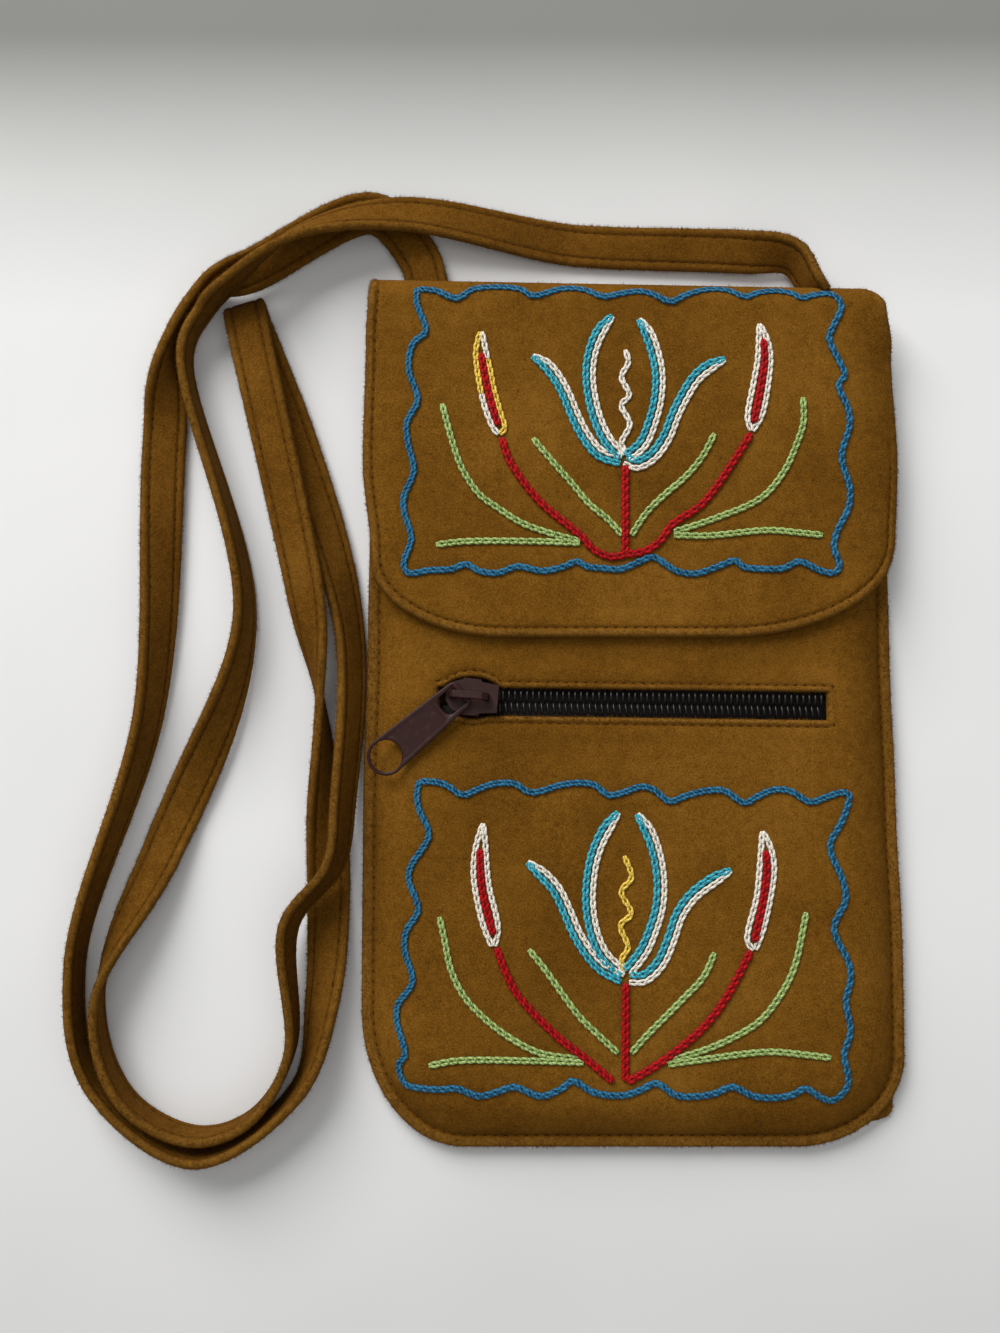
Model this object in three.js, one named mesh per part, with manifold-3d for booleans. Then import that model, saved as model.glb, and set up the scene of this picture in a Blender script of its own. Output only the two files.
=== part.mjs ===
// A suede travel document bag that lies on its back, flap closed, with its strap laid beside it.
// Millimetres. +X is the right of the front view, +Y runs to the folded top, +Z out of the front.
// The surface that the bag lies on is z = 0, and the origin is under the middle of the bag.
import * as THREE from 'three';
import { mergeVertices } from 'three/addons/utils/BufferGeometryUtils.js';
import Module from 'manifold-3d';

const wasm = await Module();
wasm.setup();

const { degToRad, lerp, smoothstep } = THREE.MathUtils;

// Suede thicknesses, and the heights that they stack up to
const BACK_THICKNESS = 1.6;
const FRONT_THICKNESS = 1.6;
const FLAP_THICKNESS = 2.2;
const POCKET_DEPTH = 6;
const SEAM_GAP = 0.35;
const FLAP_GAP = 0.4;
const FLANGE_TOP = BACK_THICKNESS + SEAM_GAP + FRONT_THICKNESS;
const FRONT_TOP = BACK_THICKNESS + POCKET_DEPTH + FRONT_THICKNESS;
const FLAP_BOTTOM = FRONT_TOP + FLAP_GAP;
const FLAP_TOP = FLAP_BOTTOM + FLAP_THICKNESS;

// Side edges of each sheet, a row for each level from the top down
const BACK_EDGES = [
  { y: 98, left: -64.2, right: 62.4 },
  { y: 14, left: -63.6, right: 62.6 },
  { y: -60, left: -64.6, right: 63.4 },
  { y: -106, left: -64.6, right: 63.2 },
];
const FLAP_EDGES = [
  { y: 99, left: -64.4, right: 62.2 },
  { y: 89, left: -65, right: 64.2 },
  { y: 60, left: -65.6, right: 65.4 },
  { y: 36, left: -63.4, right: 64.4 },
  { y: 16, left: -63, right: 64.2 },
];
const FRONT_EDGES = [
  { y: 96, left: -63.4, right: 62.4 },
  { y: 14, left: -64.7, right: 63.7 },
  { y: -22, left: -65.6, right: 64.6 },
  { y: -60, left: -65.7, right: 65.7 },
  { y: -106, left: -65.7, right: 65.7 },
];

// Rounded lower corners: how far each runs in from the side and up from the bottom
const BACK_BOTTOM = { y: -104.6, left: { width: 25, rise: 33 }, right: { width: 3.5, rise: 3 } };
const FLAP_BOTTOM_EDGE = { y: 16.7, left: { width: 32, rise: 19 }, right: { width: 42, rise: 24 } };
const FRONT_BOTTOM = { y: -105.7, left: { width: 25, rise: 33 }, right: { width: 27, rise: 22 } };

// The back's lower edge climbs towards its right corner, which shows past the front's rounder one
const BACK_CLIMB = { from: 10, rise: 5.4, fade: 34 };

// The folded top slants down to the right, and its right end is pinched in
const FOLD_START = 98.688;
const FOLD_REACH = 5.9;
const FOLD_WALL = 1.9;
const FOLD_RIGHT_END = 57.5;
const FOLD_LEFT_END = -64;
const TOP_SLANT = -0.0188;
const SLANT_FROM = 60;

// The flap's side edges droop over the sides of the bag, the right one most
const FLAP_DROOP = { left: 1.4, leftReach: 10, right: 4.2, rightReach: 14 };

// The front panel's flat seam allowance, and the rim that climbs from it to the flat front
const FRONT_MOUTH = 95;
const SEAM_WIDTH = 3;
const RIM_WIDTH = 12;
const RIM_ROUND = 2.4;

// How finely the sheets are faceted
const SHEET_COLUMNS = 18;
const CORNER_ROWS = 7;
const FOLD_ROWS = 9;
const FLAP_ROWS = 7;
const BACK_ROWS = 6;
const FRONT_ROWS = 12;

// Zip: its axis on the front panel, the slot cut for it, the tape and the coil chain
const ZIP = { x: 0, y: 0.85, tilt: degToRad(-0.78) };
const SLOT = { length: 93.3, height: 6.8, corner: 0.5 };
const SLOT_BULGE = { x: -39.4, y: 0.9, width: 8.8, height: 5.8 };
const TAPE = { length: 104, width: 26, thickness: 0.8, top: 6.5, notch: 3.6 };
const COIL = { rowSpacing: 3, halfWidth: 1.55, halfHeight: 1.2, bottom: 6.8, sides: 12, start: -36.2, end: 46 };

// Zip slider: it sits on the chain with some play, moved, rolled and turned a little
const SLIDER = { x: -39.4, y: 0.8, coilHeight: 8, roll: degToRad(-6), yaw: degToRad(-4) };
const SLIDER_HALF_OUTLINE = [
  { x: -5.8, y: 1.3 },
  { x: -4.2, y: 3.4 },
  { x: -1, y: 4.5 },
  { x: 1.4, y: 4.5 },
  { x: 3, y: 3.8 },
  { x: 6.8, y: 3.4 },
];
const PLATE = { top: 2.5, thickness: 1, lowerTop: -3.2, lowerThickness: 0.9 };
const FLANGE = { x: 0.3, length: 4.4, inner: 3.75, outer: 4.5, bottom: -0.5 };
const POST = { x: -4.3, length: 1.6, width: 2.4 };
const BRIDGE = { front: -4.9, back: 4.7, top: 6.05, underside: 4.95, leg: 1.2, slope: 0.9, width: 1.8 };

// Pull tab: an eye round the bridge, a tapering body and a finger ring
const PULL = {
  thickness: 1.2, bevel: 0.2, ringDistance: 23.7, ringRadius: 4.65, ringHole: 3.9,
  eyeEnd: 0.65, eyeHalfWidth: 3.6, eyeHoleHalfWidth: 2.6, eyeHoleLength: 5.6, shoulder: 2,
};
// Where the eye's crossbar passes under the bridge, and how the tab lies
const PULL_PLACE = { x: -41.3, y: 3.4, z: 11.8, swivel: degToRad(40), pitch: degToRad(3.8) };
const RING_SIDES = 24;

// Strap: a flat double suede band
const STRAP = { width: 10.5, thickness: 2.3, edgeRound: 0.8, stepLength: 14.5, stepTurn: 21, foldSteps: 2 };
// Its route from the left end to the right one. lift is the air under its lower edge, and roll turns
// the band about its length: 0 lies flat, and a positive roll raises the edge on the left of its course.
const STRAP_OUT = [
  { x: -50.5, y: 106.5, lift: 0.3, roll: -4 },
  { x: -52.5, y: 113, lift: 0.3, roll: -6 },
  { x: -64, y: 124.5, lift: 0.3, roll: -3 },
  { x: -94.5, y: 109, lift: 0.3, roll: -22 },
  { x: -105.5, y: 103.5, lift: 0.3, roll: -94 },
  { x: -113, y: 93, lift: 0.3, roll: -102 },
  { x: -115.5, y: 67.5, lift: 0.3, roll: -8 },
  { x: -117.5, y: -0.5, lift: 0.3, roll: -66 },
  { x: -134.5, y: -62, lift: 0.3, roll: -86 },
  { x: -129.5, y: -90, lift: 0.3, roll: -86 },
  { x: -104.5, y: -107.5, lift: 0.3, roll: -84 },
  { x: -80.5, y: -91.5, lift: 0.3, roll: -76 },
  { x: -75, y: -70.5, lift: 0.3, roll: -36 },
  { x: -74, y: -44.5, lift: 0.3, roll: -2 },
  { x: -76, y: 1.5, lift: 0.6, roll: 94 },
  { x: -79, y: 26, lift: 5.6, roll: 154 },
  { x: -94.5, y: 94, lift: 5, roll: 180 },
];
// The band turns over on itself here and runs back under its own course
const STRAP_FOLD = { x: -96, y: 100, lift: 2.55, roll: 180, fold: true };
const STRAP_BACK = [
  { x: -94.5, y: 95.5, lift: 0.7, roll: 180 },
  { x: -82.5, y: 65, lift: 0.3, roll: 174 },
  { x: -69, y: 19, lift: 0.3, roll: 121 },
  { x: -70, y: -22.5, lift: 1.9, roll: 114 },
  { x: -72, y: -38, lift: 4, roll: 108 },
  { x: -82.5, y: -52, lift: 3.2, roll: 104 },
  { x: -82.5, y: -82.5, lift: 0.3, roll: 88 },
  { x: -91.5, y: -98, lift: 0.3, roll: 86 },
  { x: -105, y: -102.5, lift: 0.3, roll: 84 },
  { x: -122, y: -93.5, lift: 0.3, roll: 84 },
  { x: -129, y: -71, lift: 0.3, roll: 92 },
  { x: -114, y: -33.5, lift: 0.3, roll: 170 },
  { x: -94.5, y: 21, lift: 0.5, roll: 256 },
  { x: -110, y: 88, lift: 0.6, roll: 269 },
  { x: -105, y: 98.5, lift: 1.2, roll: 271 },
  { x: -97, y: 104.5, lift: 6.4, roll: 270 },
  { x: -81.5, y: 117, lift: 4.2, roll: 300 },
  { x: -57, y: 122.5, lift: 3.4, roll: 338 },
  { x: -14.5, y: 116.5, lift: 0.3, roll: 360 },
  { x: 29, y: 114, lift: 0.3, roll: 380 },
  { x: 40.5, y: 112, lift: 0.3, roll: 422 },
  { x: 45, y: 105, lift: 0.6, roll: 434 },
];
const STRAP_ROUTE = [...STRAP_OUT, STRAP_FOLD, ...STRAP_BACK];

const SUEDE = { color: 0x7a4f1a, roughness: 0.95, metalness: 0 };
const STRAP_SUEDE = { color: 0x6f4616, roughness: 0.95, metalness: 0 };
const TAPE_WEAVE = { color: 0x1c1512, roughness: 0.9, metalness: 0 };
const COIL_NYLON = { color: 0x17120f, roughness: 0.35, metalness: 0 };
const PAINTED_METAL = { color: 0x3a2626, roughness: 0.4, metalness: 0.3 };

/** A closed geometry with only its shared corners left, ready to be cut or joined. */
function closed(geometry) {
  geometry.deleteAttribute('normal');
  geometry.deleteAttribute('uv');
  const merged = mergeVertices(geometry, 1e-4);
  merged.computeVertexNormals();
  return merged;
}

function toSolid(geometry) {
  const merged = closed(geometry.clone());
  merged.deleteAttribute('normal');
  return new wasm.Manifold(new wasm.Mesh({
    numProp: 3,
    vertProperties: merged.attributes.position.array,
    triVerts: Uint32Array.from(merged.index.array),
  }));
}

function toGeometry(solid) {
  const { vertProperties, triVerts } = solid.getMesh();
  const geometry = new THREE.BufferGeometry();
  geometry.setAttribute('position', new THREE.BufferAttribute(vertProperties, 3));
  geometry.setIndex(new THREE.BufferAttribute(triVerts, 1));
  geometry.computeVertexNormals();
  return geometry;
}

const joined = (...geometries) => toGeometry(
  geometries.map(toSolid).reduce((whole, piece) => whole.add(piece)),
);

function part(name, geometry, material) {
  const mesh = new THREE.Mesh(geometry, new THREE.MeshStandardMaterial(material));
  mesh.name = name;
  return mesh;
}

/** A wall of columns by rows of facets, whose every corner is put in its place by place(u, v, w). */
function sheet(columns, rows, place) {
  const geometry = new THREE.BoxGeometry(1, 1, 1, columns, rows, 1);
  const { position } = geometry.attributes;
  const corner = new THREE.Vector3();
  for (let i = 0; i < position.count; i += 1) {
    corner.fromBufferAttribute(position, i).addScalar(0.5);
    position.setXYZ(i, ...place(corner.x, corner.y, corner.z));
  }
  return closed(geometry);
}

/** Left and right side edges at a level, eased between the rows of a table. */
function edgesAt(table, y) {
  const below = Math.max(1, table.findIndex((row) => row.y <= y));
  const [upper, lower] = [table[below - 1], table[below]];
  const share = smoothstep(upper.y - y, 0, upper.y - lower.y);
  return {
    left: lerp(upper.left, lower.left, share),
    right: lerp(upper.right, lower.right, share),
  };
}

/** How far an elliptical corner draws in at a distance from where it ends. */
function cornerInset(distance, reach, depth) {
  const across = Math.min(1, Math.max(0, (reach - distance) / reach));
  return depth * (1 - Math.sqrt(1 - across * across));
}

/** Side edges at a level with the rounded lower corners taken off. */
function outlineAt(table, bottom, y) {
  const { left, right } = edgesAt(table, y);
  const height = y - bottom.y;
  return {
    left: left + cornerInset(height, bottom.left.rise, bottom.left.width),
    right: right - cornerInset(height, bottom.right.rise, bottom.right.width),
  };
}

/** Levels that follow a rounded corner up from the bottom edge, close together where it turns most. */
function cornerLevels(bottom) {
  const rise = Math.max(bottom.left.rise, bottom.right.rise);
  return Array.from({ length: CORNER_ROWS + 1 }, (_, i) => (
    bottom.y + rise * (1 - Math.cos((i / CORNER_ROWS) * (Math.PI / 2)))
  ));
}

const evenLevels = (from, to, count) => (
  Array.from({ length: count }, (_, i) => lerp(from, to, (i + 1) / count))
);

/** Columns crowd towards both side edges, where the sheets bend. */
const spread = (u) => (1 + Math.sin((u - 0.5) * Math.PI)) / 2;

/** The rows of the one sheet that is back, fold and flap, each with its outer and inner height. */
function backAndFlapRows() {
  const backLevels = cornerLevels(BACK_BOTTOM);
  backLevels.push(...evenLevels(backLevels.at(-1), FOLD_START, BACK_ROWS));
  const back = backLevels.map((y) => ({
    ...outlineAt(BACK_EDGES, BACK_BOTTOM, y),
    outer: { y, z: 0 },
    inner: { y, z: BACK_THICKNESS },
    climb: Math.max(0, 1 - (y - BACK_BOTTOM.y) / BACK_CLIMB.fade),
    droop: 0,
  }));
  const innerMiddle = (BACK_THICKNESS + FLAP_BOTTOM) / 2;
  const innerHalf = (FLAP_BOTTOM - BACK_THICKNESS) / 2;
  const fold = Array.from({ length: FOLD_ROWS - 1 }, (_, i) => {
    const angle = lerp(-Math.PI / 2, Math.PI / 2, (i + 1) / FOLD_ROWS);
    const [reach, climb] = [Math.cos(angle), Math.sin(angle)];
    const flapSide = (1 + climb) / 2;
    const backEnd = edgesAt(BACK_EDGES, FOLD_START);
    const flapEnd = edgesAt(FLAP_EDGES, FOLD_START);
    return {
      left: lerp(lerp(backEnd.left, flapEnd.left, flapSide), FOLD_LEFT_END, reach),
      right: lerp(lerp(backEnd.right, flapEnd.right, flapSide), FOLD_RIGHT_END, reach ** 2),
      outer: { y: FOLD_START + FOLD_REACH * reach, z: FLAP_TOP * flapSide },
      inner: { y: FOLD_START + (FOLD_REACH - FOLD_WALL) * reach, z: innerMiddle + innerHalf * climb },
      climb: 0,
      droop: 0,
    };
  });
  const flapLevels = cornerLevels(FLAP_BOTTOM_EDGE);
  flapLevels.push(...evenLevels(flapLevels.at(-1), FOLD_START, FLAP_ROWS));
  const flap = flapLevels.reverse().map((y) => ({
    ...outlineAt(FLAP_EDGES, FLAP_BOTTOM_EDGE, y),
    edges: edgesAt(FLAP_EDGES, y),
    outer: { y, z: FLAP_TOP },
    inner: { y, z: FLAP_BOTTOM },
    climb: 0,
    droop: smoothstep(FOLD_START - y, 0, FLAP_DROOP.rightReach),
  }));
  return [...back, ...fold, ...flap];
}

function flapDroop(row, x) {
  if (row.droop === 0) return 0;
  const left = Math.max(0, 1 - (x - row.edges.left) / FLAP_DROOP.leftReach);
  const right = Math.max(0, 1 - (row.edges.right - x) / FLAP_DROOP.rightReach);
  return row.droop * (FLAP_DROOP.left * left ** 2 + FLAP_DROOP.right * right ** 2);
}

function backAndFlap() {
  const rows = backAndFlapRows();
  return sheet(SHEET_COLUMNS, rows.length - 1, (u, v, w) => {
    const row = rows[Math.round(v * (rows.length - 1))];
    const { y, z } = w > 0.5 ? row.inner : row.outer;
    const x = lerp(row.left, row.right, spread(u));
    const toCorner = Math.max(0, (x - BACK_CLIMB.from) / (BACK_EDGES.at(-1).right - BACK_CLIMB.from));
    const climb = row.climb * BACK_CLIMB.rise * toCorner ** 2;
    const slant = TOP_SLANT * x * smoothstep(y, SLANT_FROM, FOLD_START);
    return [x, y + climb + slant, z - flapDroop(row, x)];
  });
}

/** Height of the front panel's outer face: a flat seam, a rounded rim, then the flat front. */
function frontHeight(x, y, { left, right }) {
  const { left: sideLeft, right: sideRight } = edgesAt(FRONT_EDGES, y);
  const { left: cornerLeft, right: cornerRight } = FRONT_BOTTOM;
  const bottom = FRONT_BOTTOM.y
    + cornerInset(x - sideLeft, cornerLeft.width, cornerLeft.rise)
    + cornerInset(sideRight - x, cornerRight.width, cornerRight.rise);
  const across = Math.max(0, Math.min(x - left, right - x));
  const up = Math.max(0, y - bottom);
  const toEdge = (across * up) / Math.max(Math.hypot(across, up), 1e-6);
  const climb = Math.min(1, Math.max(0, (toEdge - SEAM_WIDTH) / RIM_WIDTH));
  return lerp(FLANGE_TOP, FRONT_TOP, 1 - (1 - climb) ** RIM_ROUND);
}

function frontSheet() {
  const levels = cornerLevels(FRONT_BOTTOM);
  levels.push(...evenLevels(levels.at(-1), FRONT_MOUTH, FRONT_ROWS));
  return sheet(SHEET_COLUMNS, levels.length - 1, (u, v, w) => {
    const y = levels[Math.round(v * (levels.length - 1))];
    const outline = outlineAt(FRONT_EDGES, FRONT_BOTTOM, y);
    const x = lerp(outline.left, outline.right, spread(u));
    return [x, y, frontHeight(x, y, outline) - FRONT_THICKNESS * (1 - w)];
  });
}

function roundedRectangle(width, height, radius) {
  const [x, y] = [width / 2 - radius, height / 2 - radius];
  return new THREE.Shape()
    .absarc(x, y, radius, 0, Math.PI / 2)
    .absarc(-x, y, radius, Math.PI / 2, Math.PI)
    .absarc(-x, -y, radius, Math.PI, Math.PI * 1.5)
    .absarc(x, -y, radius, Math.PI * 1.5, Math.PI * 2)
    .closePath();
}

/** A flat plate cut to an outline, from one height up to another. */
function plate(shape, bottom, top, curveSegments = 4) {
  return new THREE.ExtrudeGeometry(shape, { depth: top - bottom, bevelEnabled: false, curveSegments })
    .translate(0, 0, bottom);
}

function frontPanel(zip) {
  const slot = plate(roundedRectangle(SLOT.length, SLOT.height, SLOT.corner), 0, FLAP_TOP);
  const bulgeOutline = new THREE.Shape()
    .absellipse(SLOT_BULGE.x, SLOT_BULGE.y, SLOT_BULGE.width, SLOT_BULGE.height, 0, Math.PI * 2);
  const bulge = plate(bulgeOutline, 0, FLAP_TOP, RING_SIDES);
  const cutter = toSolid(slot).add(toSolid(bulge));
  const placed = toGeometry(cutter).applyMatrix4(zip.matrix);
  return toGeometry(toSolid(frontSheet()).subtract(toSolid(placed)));
}

function zipTape() {
  const [end, side, slit] = [TAPE.length / 2, TAPE.width / 2, TAPE.notch / 2];
  const slitEnd = SLIDER.x + POST.x + POST.length + SEAM_GAP;
  const outline = new THREE.Shape()
    .moveTo(-end, -side)
    .lineTo(end, -side)
    .lineTo(end, side)
    .lineTo(-end, side)
    .lineTo(-end, SLIDER.y + slit)
    .lineTo(slitEnd, SLIDER.y + slit)
    .lineTo(slitEnd, SLIDER.y - slit)
    .lineTo(-end, SLIDER.y - slit)
    .closePath();
  return plate(outline, TAPE.top - TAPE.thickness, TAPE.top);
}

/** One coil row is a bar along the zip, from inside the slider to the slot's far end. */
function coilRow(side) {
  const middle = COIL.bottom + COIL.halfHeight;
  const section = new THREE.Shape()
    .absellipse(side * COIL.rowSpacing / 2, middle, COIL.halfWidth, COIL.halfHeight, 0, Math.PI * 2);
  const length = COIL.end - COIL.start;
  return new THREE.ExtrudeGeometry(section, { depth: length, bevelEnabled: false, curveSegments: COIL.sides })
    .applyMatrix4(new THREE.Matrix4().makeBasis(
      new THREE.Vector3(0, 1, 0),
      new THREE.Vector3(0, 0, 1),
      new THREE.Vector3(1, 0, 0),
    ))
    .translate(COIL.start, 0, 0);
}

function sliderOutline() {
  const upper = SLIDER_HALF_OUTLINE.map(({ x, y }) => new THREE.Vector2(x, y));
  const lower = SLIDER_HALF_OUTLINE.map(({ x, y }) => new THREE.Vector2(x, -y)).reverse();
  return new THREE.Shape([...lower, ...upper]);
}

/** The bridge is an arch along the slider, open underneath for the pull's crossbar. */
function sliderBridge() {
  const foot = PLATE.top - PLATE.thickness / 2;
  const outline = new THREE.Shape()
    .moveTo(BRIDGE.front, foot)
    .lineTo(BRIDGE.front + BRIDGE.leg, foot)
    .lineTo(BRIDGE.front + BRIDGE.leg, BRIDGE.underside - BRIDGE.slope / 3)
    .lineTo(BRIDGE.front + BRIDGE.leg + BRIDGE.slope / 3, BRIDGE.underside)
    .lineTo(BRIDGE.back - BRIDGE.leg - BRIDGE.slope, BRIDGE.underside)
    .lineTo(BRIDGE.back - BRIDGE.leg, BRIDGE.underside - BRIDGE.slope)
    .lineTo(BRIDGE.back - BRIDGE.leg, foot)
    .lineTo(BRIDGE.back, foot)
    .lineTo(BRIDGE.back - BRIDGE.slope / 3, BRIDGE.top - BRIDGE.slope)
    .lineTo(BRIDGE.back - BRIDGE.slope * 2, BRIDGE.top)
    .lineTo(BRIDGE.front + BRIDGE.slope, BRIDGE.top)
    .lineTo(BRIDGE.front, BRIDGE.top - BRIDGE.slope)
    .closePath();
  return new THREE.ExtrudeGeometry(outline, { depth: BRIDGE.width, bevelEnabled: false })
    .translate(0, 0, -BRIDGE.width / 2)
    .rotateX(Math.PI / 2);
}

function zipSlider() {
  const upper = plate(sliderOutline(), PLATE.top - PLATE.thickness, PLATE.top);
  const lower = plate(sliderOutline(), PLATE.lowerTop - PLATE.lowerThickness, PLATE.lowerTop);
  const postBottom = PLATE.lowerTop - PLATE.lowerThickness / 2;
  const postTop = PLATE.top - PLATE.thickness / 2;
  const post = new THREE.BoxGeometry(POST.length, POST.width, postTop - postBottom)
    .translate(POST.x, 0, (postTop + postBottom) / 2);
  const flangeTop = PLATE.top - PLATE.thickness / 2;
  const flanges = [-1, 1].map((side) => (
    new THREE.BoxGeometry(FLANGE.length, FLANGE.outer - FLANGE.inner, flangeTop - FLANGE.bottom)
      .translate(FLANGE.x, side * (FLANGE.outer + FLANGE.inner) / 2, (flangeTop + FLANGE.bottom) / 2)
  ));
  return joined(upper, lower, post, ...flanges, sliderBridge());
}

/** The tab lies along +X from its crossbar, which is at the origin. */
function pullTab() {
  const { ringDistance, ringRadius, eyeEnd, eyeHalfWidth, shoulder } = PULL;
  const eyeFar = eyeEnd + PULL.eyeHoleLength;
  const outline = new THREE.Shape()
    .moveTo(-eyeEnd, -eyeHalfWidth + shoulder)
    .quadraticCurveTo(-eyeEnd, -eyeHalfWidth, shoulder - eyeEnd, -eyeHalfWidth)
    .lineTo(ringDistance, -ringRadius)
    .absarc(ringDistance, 0, ringRadius, -Math.PI / 2, Math.PI / 2)
    .lineTo(shoulder - eyeEnd, eyeHalfWidth)
    .quadraticCurveTo(-eyeEnd, eyeHalfWidth, -eyeEnd, eyeHalfWidth - shoulder)
    .closePath();
  const eye = new THREE.Path()
    .moveTo(eyeEnd, -PULL.eyeHoleHalfWidth)
    .lineTo(eyeEnd, PULL.eyeHoleHalfWidth)
    .lineTo(eyeFar - shoulder, PULL.eyeHoleHalfWidth)
    .quadraticCurveTo(eyeFar, PULL.eyeHoleHalfWidth, eyeFar, 0)
    .quadraticCurveTo(eyeFar, -PULL.eyeHoleHalfWidth, eyeFar - shoulder, -PULL.eyeHoleHalfWidth)
    .closePath();
  const ring = new THREE.Path().absarc(ringDistance, 0, PULL.ringHole, 0, Math.PI * 2, true);
  outline.holes.push(eye, ring);
  return closed(new THREE.ExtrudeGeometry(outline, {
    depth: PULL.thickness - PULL.bevel * 2,
    bevelThickness: PULL.bevel,
    bevelSize: PULL.bevel,
    bevelOffset: -PULL.bevel,
    bevelSegments: 1,
    curveSegments: RING_SIDES / 2,
  }).translate(0, 0, PULL.bevel - PULL.thickness / 2));
}

/** A course through the route's points on which a flat band lies, leans or stands as its roll says. */
class StrapCourse extends THREE.CatmullRomCurve3 {
  constructor(route) {
    super(route.map(({ x, y, lift }) => new THREE.Vector3(x, y, lift)));
    this.rolls = route.map(({ roll }) => degToRad(roll));
    this.edges = this.edgeDirections(route);
    this.stations = this.spacedStations(route);
  }

  /** Places along the course, closer together where the band folds or twists. */
  spacedStations(route) {
    const last = route.length - 1;
    const stations = [0];
    for (let i = 0; i < last; i += 1) {
      const length = this.points[i].distanceTo(this.points[i + 1]);
      const fewest = route[i].fold || route[i + 1].fold ? STRAP.foldSteps : 1;
      const twist = Math.abs(route[i + 1].roll - route[i].roll);
      const steps = Math.max(fewest, Math.round(length / STRAP.stepLength), Math.round(twist / STRAP.stepTurn));
      for (let step = 1; step <= steps; step += 1) {
        stations.push((i + step / steps) / last);
      }
    }
    return stations;
  }

  /** Which way the band's reference edge points at each route point. A fold keeps it and swaps sides. */
  edgeDirections(route) {
    const up = new THREE.Vector3(0, 0, 1);
    const edges = [];
    let side = 1;
    route.forEach(({ fold }, i) => {
      if (fold) {
        edges.push(edges[i - 1].clone());
        side = -side;
        return;
      }
      const heading = super.getTangent(i / (route.length - 1)).setZ(0).normalize();
      const left = new THREE.Vector3().crossVectors(up, heading);
      edges.push(left.multiplyScalar(Math.cos(this.rolls[i]))
        .addScaledVector(up, Math.sin(this.rolls[i]))
        .multiplyScalar(side));
    });
    return edges;
  }

  /** The route point before a place on the course, and the share of the way to the next. */
  between(t) {
    const last = this.points.length - 1;
    const index = Math.min(Math.floor(t * last), last - 1);
    return { index, share: t * last - index };
  }

  /** The middle of the band, high enough for its lower edge to clear the surface by the lift. */
  getPoint(t, target = new THREE.Vector3()) {
    const point = super.getPoint(t, target);
    if (!this.rolls) return point;
    const { index, share } = this.between(t);
    const roll = lerp(this.rolls[index], this.rolls[index + 1], share);
    point.z += Math.abs(Math.sin(roll)) * STRAP.width / 2 + Math.abs(Math.cos(roll)) * STRAP.thickness / 2;
    return point;
  }

  getSpacedPoints() {
    return this.stations.map((t) => this.getPoint(t));
  }

  computeFrenetFrames() {
    const frames = { tangents: [], normals: [], binormals: [] };
    for (const t of this.stations) {
      const { index, share } = this.between(t);
      const tangent = this.getTangent(t);
      const edge = this.edges[index].clone().lerp(this.edges[index + 1], share);
      edge.addScaledVector(tangent, -edge.dot(tangent)).normalize();
      frames.tangents.push(tangent);
      frames.normals.push(edge);
      frames.binormals.push(new THREE.Vector3().crossVectors(tangent, edge));
    }
    return frames;
  }
}

function strap() {
  const [side, face, round] = [STRAP.width / 2, STRAP.thickness / 2, STRAP.edgeRound];
  const section = new THREE.Shape()
    .moveTo(side, round - face)
    .lineTo(side, face - round)
    .lineTo(side - round, face)
    .lineTo(round - side, face)
    .lineTo(-side, face - round)
    .lineTo(-side, round - face)
    .lineTo(round - side, -face)
    .lineTo(side - round, -face)
    .closePath();
  const course = new StrapCourse(STRAP_ROUTE);
  return closed(new THREE.ExtrudeGeometry(section, {
    steps: course.stations.length - 1,
    extrudePath: course,
  }));
}

const bag = new THREE.Group();

const zip = new THREE.Group();
zip.position.set(ZIP.x, ZIP.y, 0);
zip.rotation.z = ZIP.tilt;
zip.updateMatrix();
zip.add(part('zip_tape', zipTape(), TAPE_WEAVE));
zip.add(part('zip_chain', joined(coilRow(-1), coilRow(1)), COIL_NYLON));

const slider = part('zip_slider', zipSlider(), PAINTED_METAL);
slider.position.set(SLIDER.x, SLIDER.y, SLIDER.coilHeight);
slider.rotation.set(SLIDER.roll, 0, SLIDER.yaw);
zip.add(slider);

const pull = part('pull_tab', pullTab(), PAINTED_METAL);
pull.position.set(PULL_PLACE.x, PULL_PLACE.y, PULL_PLACE.z);
pull.rotation.set(0, PULL_PLACE.pitch, Math.PI + PULL_PLACE.swivel, 'ZYX');

bag.add(part('back_and_flap', backAndFlap(), SUEDE));
bag.add(part('front_panel', frontPanel(zip), SUEDE));
bag.add(zip, pull);
bag.add(part('strap', strap(), STRAP_SUEDE));

export default bag;
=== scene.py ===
"""A suede travel document bag lying on its back, with its long flat strap laid beside it in two nested loops.

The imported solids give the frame. This scene dresses them as sewn suede with chain-stitch embroidery, a coil
zip and a painted metal slider. Lengths are in millimetres until a mesh is made, except in the strap's route
and the studio's lights, which are in metres.
"""
import logging
import math
from dataclasses import dataclass, field
from enum import Enum
from typing import Any, Callable, Sequence

import bmesh
import bpy
import numpy as np
from mathutils import Matrix, Vector
from mathutils.kdtree import KDTree


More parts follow.
